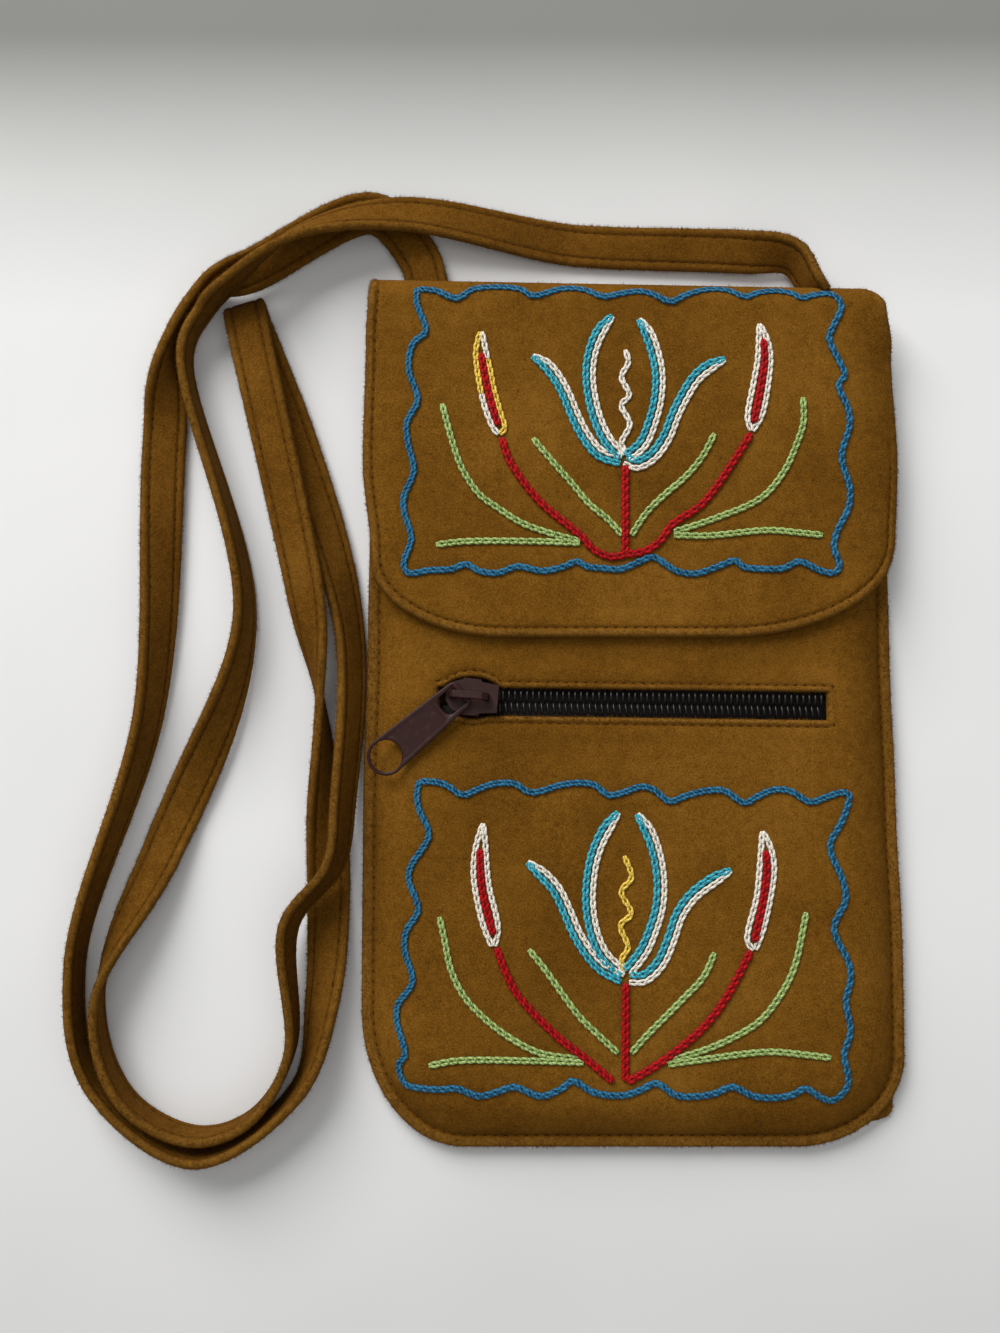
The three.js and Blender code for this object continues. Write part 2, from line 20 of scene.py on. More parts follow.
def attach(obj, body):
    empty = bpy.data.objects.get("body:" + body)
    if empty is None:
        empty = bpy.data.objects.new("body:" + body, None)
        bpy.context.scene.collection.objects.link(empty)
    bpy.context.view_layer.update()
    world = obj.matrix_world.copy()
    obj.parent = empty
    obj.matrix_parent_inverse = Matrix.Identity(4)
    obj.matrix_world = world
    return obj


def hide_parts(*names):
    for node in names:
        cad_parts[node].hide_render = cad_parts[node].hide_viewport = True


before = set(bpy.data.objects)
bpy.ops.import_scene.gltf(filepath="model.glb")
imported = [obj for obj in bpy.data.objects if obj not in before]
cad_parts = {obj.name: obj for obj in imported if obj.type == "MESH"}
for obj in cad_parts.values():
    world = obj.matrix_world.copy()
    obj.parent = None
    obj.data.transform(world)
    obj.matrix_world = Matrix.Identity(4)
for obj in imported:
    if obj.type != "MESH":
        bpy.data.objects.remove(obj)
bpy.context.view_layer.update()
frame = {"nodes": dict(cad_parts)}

MM = 0.001
LOG = logging.getLogger("document_bag")
Array = np.ndarray
Height = Callable[[Array, Array], Array]
Points = list[tuple[float, float]]
BMesh = bmesh.types.BMesh
Material = bpy.types.Material
Object = bpy.types.Object
Tree = bpy.types.NodeTree
Socket = bpy.types.NodeSocket


def linear(colour: str) -> tuple[float, float, float, float]:
    """Turn an sRGB hex colour into linear RGBA."""
    shares = [int(colour[i:i + 2], 16) / 255 for i in (1, 3, 5)]
    return (*(s / 12.92 if s <= 0.04045 else ((s + 0.055) / 1.055) ** 2.4 for s in shares), 1.0)


def node(tree: Tree, kind: str, inputs: dict[Any, Any] | None = None,
         stops: Sequence[tuple[float, str]] = (), **settings: Any) -> bpy.types.Node:
    """Add a node with its settings and links.

    Args:
        tree: The material's node tree.
        kind: The node's type name.
        inputs: Values or output sockets by input name or index.
        stops: Places and hex colours for a colour ramp.
        **settings: Properties of the node.

    Returns:
        The new node.
    """
    made = tree.nodes.new(kind)
    for name, value in settings.items():
        setattr(made, name, value)
    for key, value in (inputs or {}).items():
        if isinstance(value, Socket):
            tree.links.new(value, made.inputs[key])
        else:
            made.inputs[key].default_value = value
    for i, (place, colour) in enumerate(stops):
        elements = made.color_ramp.elements
        stop = elements[i] if i < len(elements) else elements.new(place)
        stop.position, stop.color = place, linear(colour)
    return made


@dataclass(frozen=True)
class Finish:
    """A procedural material with one shader, which reads Object coordinates and the mesh's own marks."""

    name: str

    def surface(self, tree: Tree, place: Socket) -> dict[str, Any]:
        """Add the nodes of the finish.

        Args:
            tree: The material's node tree.
            place: Object coordinates.

        Returns:
            The shader's inputs by name.
        """
        raise NotImplementedError

    def make(self) -> Material:
        """Build the material.

        Returns:
            The material, named for what it is.
        """
        material = bpy.data.materials.new(self.name)
        material.use_nodes = True
        tree = material.node_tree
        tree.nodes.clear()
        place = node(tree, "ShaderNodeTexCoord").outputs["Object"]
        shader = node(tree, "ShaderNodeBsdfPrincipled", self.surface(tree, place))
        node(tree, "ShaderNodeOutputMaterial", {"Surface": shader.outputs[0]})
        return material


@dataclass(frozen=True)
class Suede(Finish):
    """Split cowhide, dyed through and brushed: a matt nap that blotches softly, with its edges painted pale
    for wear and as a painted highlight, and painted shade in its stitch grooves.
    """

    deep: str
    middle: str
    pale: str
    rubbed_and_lit: str
    blotch: float = 26.0
    mottle: float = 2.2
    # Single fibres are too fine to show, so the nap is drawn in tufts this wide
    nap: float = 0.42
    nap_share: float = 0.68
    fine_share: float = 0.7

    def surface(self, tree: Tree, place: Socket) -> dict[str, Any]:
        """Add suede that reads the mesh's marks: edges made pale by wear and a painted highlight, and painted
        shade in the stitch grooves.

        Args:
            tree: The material's node tree.
            place: Object coordinates.

        Returns:
            The shader's inputs by name.
        """
        blotch = node(tree, "ShaderNodeTexNoise", {
            "Vector": place, "Scale": 1 / (self.blotch * MM), "Detail": 2.0}).outputs["Fac"]
        mottle = node(tree, "ShaderNodeTexNoise", {"Vector": place, "Scale": 1 / (self.mottle * MM),
                                                   "Detail": 4.0, "Roughness": 0.65}).outputs["Fac"]
        nap = node(tree, "ShaderNodeTexNoise", {
            "Vector": place, "Scale": 1 / (self.nap * MM), "Detail": 2.0, "Roughness": 0.7}).outputs["Fac"]
        fine = node(tree, "ShaderNodeMix", {0: self.nap_share, 2: mottle, 3: nap}).outputs[0]
        tone = node(tree, "ShaderNodeMix", {0: self.fine_share, 2: blotch, 3: fine}).outputs[0]
        colour = node(tree, "ShaderNodeValToRGB", {"Fac": tone}, stops=[
            (0.375, self.deep), (0.625, self.pale), (0.5, self.middle)]).outputs["Color"]
        # Edges are painted pale, partly for wear and partly as a painted highlight; the seam mark is painted
        # shade in the stitch groove
        rub = node(tree, "ShaderNodeAttribute", attribute_name="rub").outputs["Fac"]
        rub = node(tree, "ShaderNodeMath", {0: rub, 1: mottle}, operation="MULTIPLY").outputs[0]
        seam = node(tree, "ShaderNodeAttribute", attribute_name="seam").outputs["Fac"]
        for share, shade in ((rub, self.rubbed_and_lit), (seam, self.deep)):
            colour = node(tree, "ShaderNodeMix", {0: share, 6: colour, 7: linear(shade)},
                          data_type="RGBA").outputs[2]
        bump = node(tree, "ShaderNodeBump", {
            "Strength": 0.8, "Distance": 0.3 * MM, "Height": fine}).outputs["Normal"]
        return {"Base Color": colour, "Normal": bump, "Roughness": 0.95, "Specular IOR Level": 0.04,
                "Sheen Weight": 0.1, "Sheen Roughness": 0.45, "Sheen Tint": linear(self.rubbed_and_lit)}


@dataclass(frozen=True)
class SpunThread(Finish):
    """Twisted yarn with a low sheen, with painted shade between its plies and a painted highlight on their
    crowns.
    """

    dark: str
    light: str
    roughness: float = 0.6
    sheen: float = 0.04
    gloss: float = 0.14
    fade: float = 1.6
    ply_share: float = 0.3

    def surface(self, tree: Tree, place: Socket) -> dict[str, Any]:
        """Add thread that is striped by the mesh's twist attribute into painted shade and painted highlight.

        Args:
            tree: The material's node tree.
            place: Object coordinates.

        Returns:
            The shader's inputs by name.
        """
        twist = node(tree, "ShaderNodeAttribute", attribute_name="twist").outputs["Fac"]
        ply = node(tree, "ShaderNodeMath", {0: twist}, operation="SINE").outputs[0]
        fade = node(tree, "ShaderNodeTexNoise", {
            "Vector": place, "Scale": 1 / (self.fade * MM), "Detail": 3.0}).outputs["Fac"]
        # Painted shade between the plies and a painted highlight on their crowns
        tone = node(tree, "ShaderNodeMath", {0: ply, 1: self.ply_share, 2: fade},
                    operation="MULTIPLY_ADD").outputs[0]
        colour = node(tree, "ShaderNodeValToRGB", {"Fac": tone}, stops=[
            (0.22, self.dark), (0.62, self.light)]).outputs["Color"]
        bump = node(tree, "ShaderNodeBump", {
            "Strength": 0.6, "Distance": 0.08 * MM, "Height": ply}).outputs["Normal"]
        return {"Base Color": colour, "Normal": bump, "Roughness": self.roughness,
                "Sheen Weight": self.sheen, "Specular IOR Level": self.gloss}


@dataclass(frozen=True)
class Clouded(Finish):
    """A hard surface whose colour and gloss drift together from spot to spot."""

    dark: str
    light: str
    # Noise values of the two colours, then the roughness at a noise of 0 and of 1
    stops: tuple[float, float]
    gloss: tuple[float, float]
    specular: float
    cell: float
    detail: float = 2.0
    roughness: float = 0.5
    bump: float = 0.0

    def surface(self, tree: Tree, place: Socket) -> dict[str, Any]:
        """Add the drifting colour and gloss, and a slight unevenness where there is one.

        Args:
            tree: The material's node tree.
            place: Object coordinates.

        Returns:
            The shader's inputs by name.
        """
        cloud = node(tree, "ShaderNodeTexNoise", {
            "Vector": place, "Scale": 1 / (self.cell * MM), "Detail": self.detail,
            "Roughness": self.roughness}).outputs["Fac"]
        colour = node(tree, "ShaderNodeValToRGB", {"Fac": cloud}, stops=[
            (self.stops[0], self.dark), (self.stops[1], self.light)]).outputs["Color"]
        gloss = node(tree, "ShaderNodeMapRange", {
            "Value": cloud, "To Min": self.gloss[0], "To Max": self.gloss[1]}).outputs["Result"]
        inputs = {"Base Color": colour, "Roughness": gloss, "Specular IOR Level": self.specular}
        if self.bump:
            inputs["Normal"] = node(tree, "ShaderNodeBump", {
                "Strength": self.bump, "Distance": 0.05 * MM, "Height": cloud}).outputs["Normal"]
        return inputs


# Die-cast zinc under brown paint: a satin film, a little uneven, with specks where it has worn
PAINTED_ZINC = Clouded("painted_zinc", "#2c130f", "#47291f", (0.55, 0.8), (0.34, 0.55), 0.22, 1.8, 4.0, 0.7,
                       0.15)

# Heat-set nylon monofilament, nearly black: smooth, so each loop carries a small sharp glint
NYLON_COIL = Clouded("nylon_coil", "#080504", "#150e0b", (0.35, 0.7), (0.28, 0.44), 0.32, 1.1)


@dataclass(frozen=True)
class WovenTape(Finish):
    """Polyester zip tape: a matt twill of dark yarns about half a millimetre apart."""

    name: str = "woven_tape"
    dark: str = "#090605"
    light: str = "#1b1411"
    yarn: float = 0.55
    # A wave texture repeats after this distance at a scale of 1
    repeat: float = 0.314

    def surface(self, tree: Tree, place: Socket) -> dict[str, Any]:
        """Add diagonal ribs of yarn.

        Args:
            tree: The material's node tree.
            place: Object coordinates.

        Returns:
            The shader's inputs by name.
        """
        rib = node(tree, "ShaderNodeTexWave", {
            "Vector": place, "Scale": self.repeat / (self.yarn * MM), "Distortion": 1.0, "Detail": 1.0},
            bands_direction="DIAGONAL").outputs["Fac"]
        colour = node(tree, "ShaderNodeValToRGB", {"Fac": rib}, stops=[
            (0.2, self.dark), (0.9, self.light)]).outputs["Color"]
        bump = node(tree, "ShaderNodeBump", {
            "Strength": 0.6, "Distance": 0.1 * MM, "Height": rib}).outputs["Normal"]
        return {"Base Color": colour, "Normal": bump, "Roughness": 0.9}


@dataclass(frozen=True)
class StudioPaper(Finish):
    """Matt pale paper, faintly uneven, with a painted band of soft shade behind the bag and a little painted
    shade before it.
    """

    name: str = "studio_paper"
    dark: str = "#dfdfde"
    light: str = "#e5e4e3"
    cloud: float = 90.0
    shaded: tuple[float, float] = (-175.0, 500.0)
    painted_shade_stops: tuple[tuple[float, str], ...] = (
        (0.0, "#ededec"), (1.0, "#e9e9e8"), (0.184, "#ffffff"), (0.4076, "#ffffff"), (0.4333, "#f3f3f2"),
        (0.456, "#e6e6e4"), (0.4823, "#c9cac7"), (0.5138, "#949591"), (0.57, "#949591"))

    def surface(self, tree: Tree, place: Socket) -> dict[str, Any]:
        """Add pale paper with painted shade that runs up the floor.

        Args:
            tree: The material's node tree.
            place: Object coordinates.

        Returns:
            The shader's inputs by name.
        """
        cloud = node(tree, "ShaderNodeTexNoise", {
            "Vector": place, "Scale": 1 / (self.cloud * MM), "Detail": 2.0}).outputs["Fac"]
        colour = node(tree, "ShaderNodeValToRGB", {"Fac": cloud}, stops=[
            (0.3, self.dark), (0.7, self.light)]).outputs["Color"]
        # Painted shade: the paper is darkened by its place up the floor, in a band behind the bag and a
        # little before it
        level = node(tree, "ShaderNodeSeparateXYZ", {"Vector": place}).outputs["Y"]
        behind = node(tree, "ShaderNodeMapRange", {
            "Value": level, "From Min": self.shaded[0] * MM,
            "From Max": self.shaded[1] * MM}).outputs["Result"]
        shade = node(tree, "ShaderNodeValToRGB", {"Fac": behind}, stops=self.painted_shade_stops).outputs["Color"]
        colour = node(tree, "ShaderNodeMix", {0: 1.0, 6: colour, 7: shade}, data_type="RGBA",
                      blend_type="MULTIPLY").outputs[2]
        return {"Base Color": colour, "Roughness": 0.85}


class Floss(Enum):
    """The embroidery's thread colours, each as its colour in the painted shade between its plies and in the
    painted highlight on them.
    """

    BLUE = ("#0b3a55", "#2f7192")
    TURQUOISE = ("#187085", "#48b0bd")
    WHITE = ("#bdb3a1", "#ede6d8")
    YELLOW = ("#b98d2a", "#efcf5c")
    RED = ("#720003", "#ad0508")
    GREEN = ("#6d8040", "#a7bd74")


def smoothstep(value: Array | float, low: Array | float, high: Array | float) -> Array:
    """Ease from 0 at low to 1 at high."""
    share = np.clip((np.asarray(value, float) - low) / (high - low), 0, 1)
    return share * share * (3 - 2 * share)


def bell(value: Array, middle: float, width: float) -> Array:
    """A smooth bump of height 1 round a value."""
    return np.exp(-((value - middle) / width) ** 2)


def unit(vectors: Array) -> Array:
    """Vectors of length 1 in the same directions."""
    return vectors / np.linalg.norm(vectors, axis=-1, keepdims=True).clip(1e-9)


def spline(points: Array, steps: int) -> Array:
    """Draw a smooth centripetal curve through points.

    Args:
        points: Control points, one a row.
        steps: Steps from each point to the next.

    Returns:
        Points on the curve, the control points among them.
    """
    ends = np.vstack([2 * points[0] - points[1], points, 2 * points[-1] - points[-2]])
    gaps = np.sqrt(np.linalg.norm(np.diff(ends, axis=0), axis=1)).clip(1e-4)[:, None]
    slopes = np.diff(ends, axis=0) / gaps
    share = (np.arange(steps) / steps)[:, None]
    spans = []
    for i in range(len(points) - 1):
        before, here, after = gaps[i], gaps[i + 1], gaps[i + 2]
        leave = here * (slopes[i] - (ends[i + 2] - ends[i]) / (before + here) + slopes[i + 1])
        arrive = here * (slopes[i + 1] - (ends[i + 3] - ends[i + 1]) / (here + after) + slopes[i + 2])
        start, end = ends[i + 1], ends[i + 2]
        spans.append(start + share * (leave + share * (
            3 * (end - start) - 2 * leave - arrive + share * (2 * (start - end) + leave + arrive))))
    return np.vstack([*spans, points[-1]])


def lengths(line: Array) -> Array:
    """Distance along a line at each of its points."""
    return np.concatenate([[0.0], np.cumsum(np.linalg.norm(np.diff(line, axis=0), axis=1))])


def along(run: Array, values: Array, places: Array) -> Array:
    """Read values at distances along a line.

    Args:
        run: Distances along the line where the values are known.
        values: The values there, one row for each.
        places: The distances asked for.

    Returns:
        The values at those distances.
    """
    return np.stack([np.interp(places, run, column) for column in values.T], axis=-1)


def resampled(line: Array, spacing: float) -> Array:
    """Points of a line at an even spacing."""
    run = lengths(line)
    return along(run, line, np.linspace(0, run[-1], max(2, round(run[-1] / spacing) + 1)))


def left_of(line: Array) -> Array:
    """Directions in plan to the left of a line, seen along it."""
    slope = unit(np.gradient(line, axis=0))
    return np.column_stack([-slope[:, 1], slope[:, 0]])


def edge_distance(x: Array, y: Array, line: Array) -> Array:
    """Distance of places on a panel from a line in plan.

    Args:
        x: Places across the bag.
        y: Places up the bag.
        line: Points of the line.

    Returns:
        Distances, in the shape of x.
    """
    places = np.column_stack([np.ravel(x), np.ravel(y)])
    start, run = line[:-1], np.diff(line, axis=0)
    size = (run ** 2).sum(axis=1).clip(1e-9)
    found = []
    for block in np.array_split(places, max(1, len(places) // 3000)):
        gap = block[:, None] - start
        share = ((gap * run).sum(axis=2) / size).clip(0, 1)
        found.append(np.linalg.norm(gap - share[..., None] * run, axis=2).min(axis=1))
    return np.concatenate(found).reshape(np.shape(x))


def linked(name: str, mesh: bpy.types.Mesh, material: Material) -> Object:
    """Put a smooth-shaded mesh into the scene at the origin.

    Args:
        name: The piece's name.
        mesh: Its mesh.
        material: Its material.

    Returns:
        The piece.
    """
    mesh.polygons.foreach_set("use_smooth", [True] * len(mesh.polygons))
    mesh.materials.append(material)
    made = bpy.data.objects.new(name, mesh)
    bpy.context.scene.collection.objects.link(made)
    return made


def as_object(name: str, bm: BMesh, material: Material) -> Object:
    """Close a bmesh into a piece.

    Args:
        name: The piece's name.
        bm: Its mesh, in metres, freed here.
        material: Its material.

    Returns:
        The piece.
    """
    mesh = bpy.data.meshes.new(name)
    bm.to_mesh(mesh)
    bm.free()
    return linked(name, mesh, material)


def placed_grid(places: Array, marks: dict[str, Array], keep: Array | None = None) -> BMesh:
    """Make grids of faces and put their corners in their places.

    Args:
        places: Corner places in mm, by layer, row and column.
        marks: Named values at the corners of each layer, in the same shape.
        keep: Which faces stay, by row and column.

    Returns:
        The grids, welded where their borders meet, with faces outwards.
    """
    layers, rows, columns = places.shape[:3]
    bm = bmesh.new()
    for layer in range(layers):
        bmesh.ops.create_grid(bm, x_segments=columns - 1, y_segments=rows - 1, size=0.5,
                              matrix=Matrix.Translation((0, 0, layer)))
    fields = {name: bm.verts.layers.float.new(name) for name in marks}

    def cell(place: Vector) -> tuple[float, float, float]:
        """Layer, row and column of a place on the plain grids."""
        return place.z, (place.y + 0.5) * (rows - 1), (place.x + 0.5) * (columns - 1)

    gone = []
    if keep is not None:
        middles = [(face, cell(face.calc_center_median())) for face in bm.faces]
        gone = [face for face, (_, row, column) in middles if not keep[int(row), int(column)]]
    for vert in bm.verts:
        corner = tuple(round(part) for part in cell(vert.co))
        vert.co = Vector(places[corner]) * MM
        for name, values in fields.items():
            vert[values] = marks[name][corner]
    bmesh.ops.delete(bm, geom=gone, context="FACES")
    border = [vert for vert in bm.verts if vert.is_boundary]
    bmesh.ops.remove_doubles(bm, verts=border, dist=1e-3 * MM)
    bmesh.ops.recalc_face_normals(bm, faces=bm.faces)
    return bm


@dataclass(frozen=True)
class Stamp:
    """A small shape that is repeated along a line, with its places along, across and above the line."""

    places: Array
    faces: list[tuple[int, ...]]
    twist: Array

    def turned(self, way: int) -> "Stamp":
        """The stamp with its faces as they are, for 1, or turned over, for -1."""
        return Stamp(self.places, [face[::way] for face in self.faces], self.twist)


def read_stamp(bm: BMesh, shape: Callable[[Array], tuple[Array, Array]]) -> Stamp:
    """Take a stamp from a bmesh.

    Args:
        bm: The round shape that it starts from, freed here.
        shape: Gives the stamp's places and twist from the shape's own.

    Returns:
        The stamp.
    """
    bm.verts.index_update()
    places, twist = shape(np.array([vert.co for vert in bm.verts]))
    faces = [tuple(vert.index for vert in face.verts) for face in bm.faces]
    bm.free()
    return Stamp(places, faces, twist)


# Plies that are twisted into a thread
PLIES = 2


@dataclass(frozen=True)
class ChainLoop:
    """One loop of chain stitch: a ring drawn out to a teardrop that is caught down at its narrow end."""

    length: float
    half_width: float
    thread: float
    lift: float
    # Share of the width at the narrow end, and what is added towards the round one
    narrow: float = 0.62
    widening: float = 0.5
    # Height of the thread's middle as a share of its radius, and where along the loop it has it
    seat: float = 0.75
    level_at: float = 0.55
    twist: float = 6.0

    def share(self, angle: Array) -> Array:
        """Share of the loop's length at an angle round the ring, from its narrow end."""
        return 0.5 - 0.5 * np.cos(angle)

    def course(self, angle: Array) -> Array:
        """Middle of the thread in plan at an angle round the ring."""
        width = self.half_width * np.sin(angle) * (self.narrow + self.widening * self.share(angle))
        return np.column_stack([self.length * self.share(angle), width])

    def teardrop(self, ring: Array) -> tuple[Array, Array]:
        """Draw the ring out, with its round end riding up over the next loop.

        Args:
            ring: Corners of the ring.

        Returns:
            Corners of the loop, and the thread's twist at each.
        """
        turn = np.arctan2(ring[:, 1], ring[:, 0])
        out = np.hypot(ring[:, 0], ring[:, 1]) - 1
        slope = unit(self.course(turn + 0.01) - self.course(turn - 0.01))
        plan = self.course(turn) + out[:, None] * np.column_stack([slope[:, 1], -slope[:, 0]])
        height = ring[:, 2] + self.thread * self.seat + self.lift * (self.share(turn) - self.level_at)
        return np.column_stack([plan, height]), turn * self.twist + PLIES * np.arctan2(ring[:, 2], out)

    def stamp(self) -> Stamp:
        """Make one loop.

        Returns:
            The loop, from 0 to its length along the line.
        """
        bm = bmesh.new()
        upright = Matrix.Translation((1, 0, 0)) @ Matrix.Rotation(math.pi / 2, 4, "X")
        ring = bmesh.ops.create_circle(bm, segments=6, radius=self.thread, matrix=upright)
        edges = list({edge for vert in ring["verts"] for edge in vert.link_edges})
        bmesh.ops.spin(bm, geom=ring["verts"] + edges, axis=(0, 0, 1), cent=(0, 0, 0), angle=math.tau,
                       steps=12, use_merge=True)
        bmesh.ops.recalc_face_normals(bm, faces=bm.faces)
        return read_stamp(bm, self.teardrop)


@dataclass(frozen=True)
class Topstitch:
    """Running stitches at a pitch along a seam: short beads of thread whose ends dip into the hide."""

    length: float
    thread: float
    sink: float
    pitch: float
    # Bare lengths at the start and the end of a seam
    ends: tuple[float, float]
    blunt: float = 0.8
    flat: float = 0.8
    twist: float = 5.0

    def bead(self, ball: Array) -> tuple[Array, Array]:
        """Draw a ball out to a bead.

        Args:
            ball: Corners of the ball.

        Returns:
            Corners of the stitch, and the thread's twist at each.
        """
        run = np.sign(ball[:, 0]) * np.abs(ball[:, 0]) ** self.blunt
        height = ball[:, 2] * self.thread * self.flat - self.sink * run ** 2
        places = np.column_stack([run * self.length / 2, ball[:, 1] * self.thread, height])
        return places, run * self.twist + PLIES * np.arctan2(ball[:, 2], ball[:, 1])

    def stamp(self) -> Stamp:
        """Make one stitch.

        Returns:
            The stitch, centred on its place.
        """
        bm = bmesh.new()
        bmesh.ops.create_uvsphere(bm, u_segments=6, v_segments=7, radius=1,
                                  matrix=Matrix.Rotation(math.pi / 2, 4, "Y"))
        return read_stamp(bm, self.bead)

    def starts(self, line: Array) -> Array:
        """Distances along a line where stitches sit, clear of its two ends."""
        return np.arange(self.ends[0], lengths(line)[-1] - self.ends[1], self.pitch)


def stamped(name: str, batches: list[tuple[Stamp, Array]], material: Material) -> Object:
    """Join many placed copies of stamps into one piece.

    Args:
        name: The piece's name.
        batches: Stamps with the places in mm of each copy's corners, by copy and corner.
        material: Its material.

    Returns:
        One piece with a twist attribute.
    """
    corners, faces, twist, first = [], [], [], 0
    for stamp, places in batches:
        for copy in places:
            faces += [tuple(i + first for i in face) for face in stamp.faces]
            first += len(copy)
        corners.append(places.reshape(-1, 3))
        twist.append(np.tile(stamp.twist, len(places)))
    mesh = bpy.data.meshes.new(name)
    mesh.from_pydata((np.concatenate(corners) * MM).tolist(), [], faces)
    mesh.attributes.new("twist", "FLOAT", "POINT").data.foreach_set("value", np.concatenate(twist))
    return linked(name, mesh, material)


def sewn(line: Array, starts: Array, stamp: Stamp, height: Height) -> Array:
    """Lay copies of a stamp along a line in plan, on a panel.

    Args:
        line: Points of the line.
        starts: Distances along it where the copies start.
        stamp: What is repeated.
        height: The panel's outer face.

    Returns:
        Places by copy and corner.
    """
    run = starts[:, None] + stamp.places[:, 0]
    at = along(lengths(line), np.column_stack([line, left_of(line)]), run)
    plan = at[..., :2] + stamp.places[:, 1:2] * at[..., 2:]
    return np.dstack([plan, height(plan[..., 0], plan[..., 1]) + stamp.places[:, 2]])


@dataclass(frozen=True)
class Nap:
    """Loose fibres that stand off brushed suede, thin on its faces and thick along its edges, where wear and
    a painted highlight make it pale.
    """

    fibres: int
    shortest: float = 0.35
    longest: float = 1.05
    root: float = 0.055
    sunk: float = 0.1
    on_faces: float = 0.05
    lowest_face: float = -0.3
    upright: float = 0.75
    tousled: float = 0.9
    # Added to a face's direction so that a fibre never lies along it
    askew: tuple[float, float, float] = (0.3, 0.1, 0.2)

    def build(self, name: str, surface: Object) -> Object:
        """Scatter the fibres over a piece of suede.

        Args:
            name: The piece's name.
            surface: The suede, with its mark of wear and painted highlight along the edges.

        Returns:
            One piece of closed spikes in the same suede.
        """
        mesh = surface.data
        mesh.calc_loop_triangles()
        corners = np.empty(len(mesh.loop_triangles) * 3, int)
        mesh.loop_triangles.foreach_get("vertices", corners)
        corners = corners.reshape(-1, 3)
        places, rub = np.empty(len(mesh.vertices) * 3), np.empty(len(mesh.vertices))
        mesh.vertices.foreach_get("co", places)
        mesh.attributes["rub"].data.foreach_get("value", rub)
        triangles = places.reshape(-1, 3)[corners] / MM
        across = np.cross(triangles[:, 1] - triangles[:, 0], triangles[:, 2] - triangles[:, 0])
        size = np.linalg.norm(across, axis=1).clip(1e-9)
        face = across / size[:, None]
        share = size * (self.on_faces + rub[corners].mean(axis=1)) * (face[:, 2] > self.lowest_face)

        chance = np.random.default_rng(len(corners))
        chosen = chance.choice(len(corners), self.fibres, p=share / share.sum())
        inside = chance.dirichlet((1, 1, 1), self.fibres)
        foot = (triangles[chosen] * inside[..., None]).sum(axis=1)
        lean = unit(chance.normal(size=(self.fibres, 3)))
        out = unit(face[chosen] * self.upright + lean * self.tousled)
        side = unit(np.cross(out, face[chosen] + self.askew))
        third = np.cross(out, side)
        length = chance.uniform(self.shortest, self.longest, self.fibres)[:, None]
        ring = [foot - self.sunk * out + self.root * (math.cos(turn) * side + math.sin(turn) * third)
                for turn in (0, math.tau / 3, 2 * math.tau / 3)]
        spikes = np.stack([*ring, foot + length * out], axis=1)
        spike = Stamp(spikes[0], [(0, 1, 3), (1, 2, 3), (2, 0, 3), (0, 2, 1)], np.zeros(4))
        made = stamped(name, [(spike, spikes)], mesh.materials[0])
        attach(made, "bag")
        return made


# How fast rows and columns spread out from a hem, where 1 is evenly
HEM_SPREAD = 1.3


@dataclass(frozen=True)
class Corner:
    """A rounded lower corner: how far it runs along the bottom edge and up the side."""

    width: float
    rise: float


def corner_inset(distance: Array, reach: float, depth: float) -> Array:
    """How far an elliptical corner draws in at a distance from where it ends."""
    across = np.clip((reach - distance) / reach, 0, 1)
    return depth * (1 - np.sqrt(1 - across * across))


@dataclass(frozen=True)
class Outline:
    """A sheet's side edges by level, from the top down, and its rounded lower corners."""

    rows: tuple[tuple[float, float, float], ...]
    bottom: float
    left: Corner
    right: Corner

    def sides(self, y: Array) -> tuple[Array, Array]:
        """Side edges before the corners are taken off.

        Args:
            y: Levels.

        Returns:
            Left and right edges at those levels.
        """
        table = np.array(self.rows)
        below = np.clip(np.searchsorted(-table[:, 0], -np.asarray(y, float)), 1, len(table) - 1)
        upper, lower = table[below - 1], table[below]
        share = smoothstep(upper[..., 0] - y, 0, upper[..., 0] - lower[..., 0])[..., None]
        mixed = upper + (lower - upper) * share
        return mixed[..., 1], mixed[..., 2]

    def edges(self, y: Array) -> tuple[Array, Array]:
        """Side edges with the corners taken off.

        Args:
            y: Levels.

        Returns:
            Left and right edges at those levels.
        """
        left, right = self.sides(y)
        height = y - self.bottom
        return (left + corner_inset(height, self.left.rise, self.left.width),
                right - corner_inset(height, self.right.rise, self.right.width))

    def levels(self, top: float, spacing: float, hem: float, hem_spacing: float) -> Array:
        """Rows of a sheet from its bottom edge up, close together along the hem.

        Args:
            top: The highest row.
            spacing: Distance between rows.
            hem: Height of the close rows.
            hem_spacing: Distance between those.

        Returns:
            Levels, rising.
        """
        start = self.bottom + hem * np.linspace(0, 1, round(hem / hem_spacing) + 1) ** HEM_SPREAD
        rest = np.linspace(start[-1], top, round((top - start[-1]) / spacing) + 1)
        return np.concatenate([start, rest[1:]])

    def line(self, top: float) -> Array:
        """The edge in plan.

        Args:
            top: Where it starts and ends.

        Returns:
            Points from the top left round the bottom to the top right.
        """
        turn = np.linspace(math.pi / 2, 0, 60)
        rise = max(self.left.rise, self.right.rise)
        y = np.concatenate([np.linspace(top, self.bottom + rise, 50)[:-1],
                            self.bottom + rise * (1 - np.cos(turn))])
        left, right = self.edges(y)
        return np.vstack([np.column_stack([left, y]), np.column_stack([right, y])[::-1]])


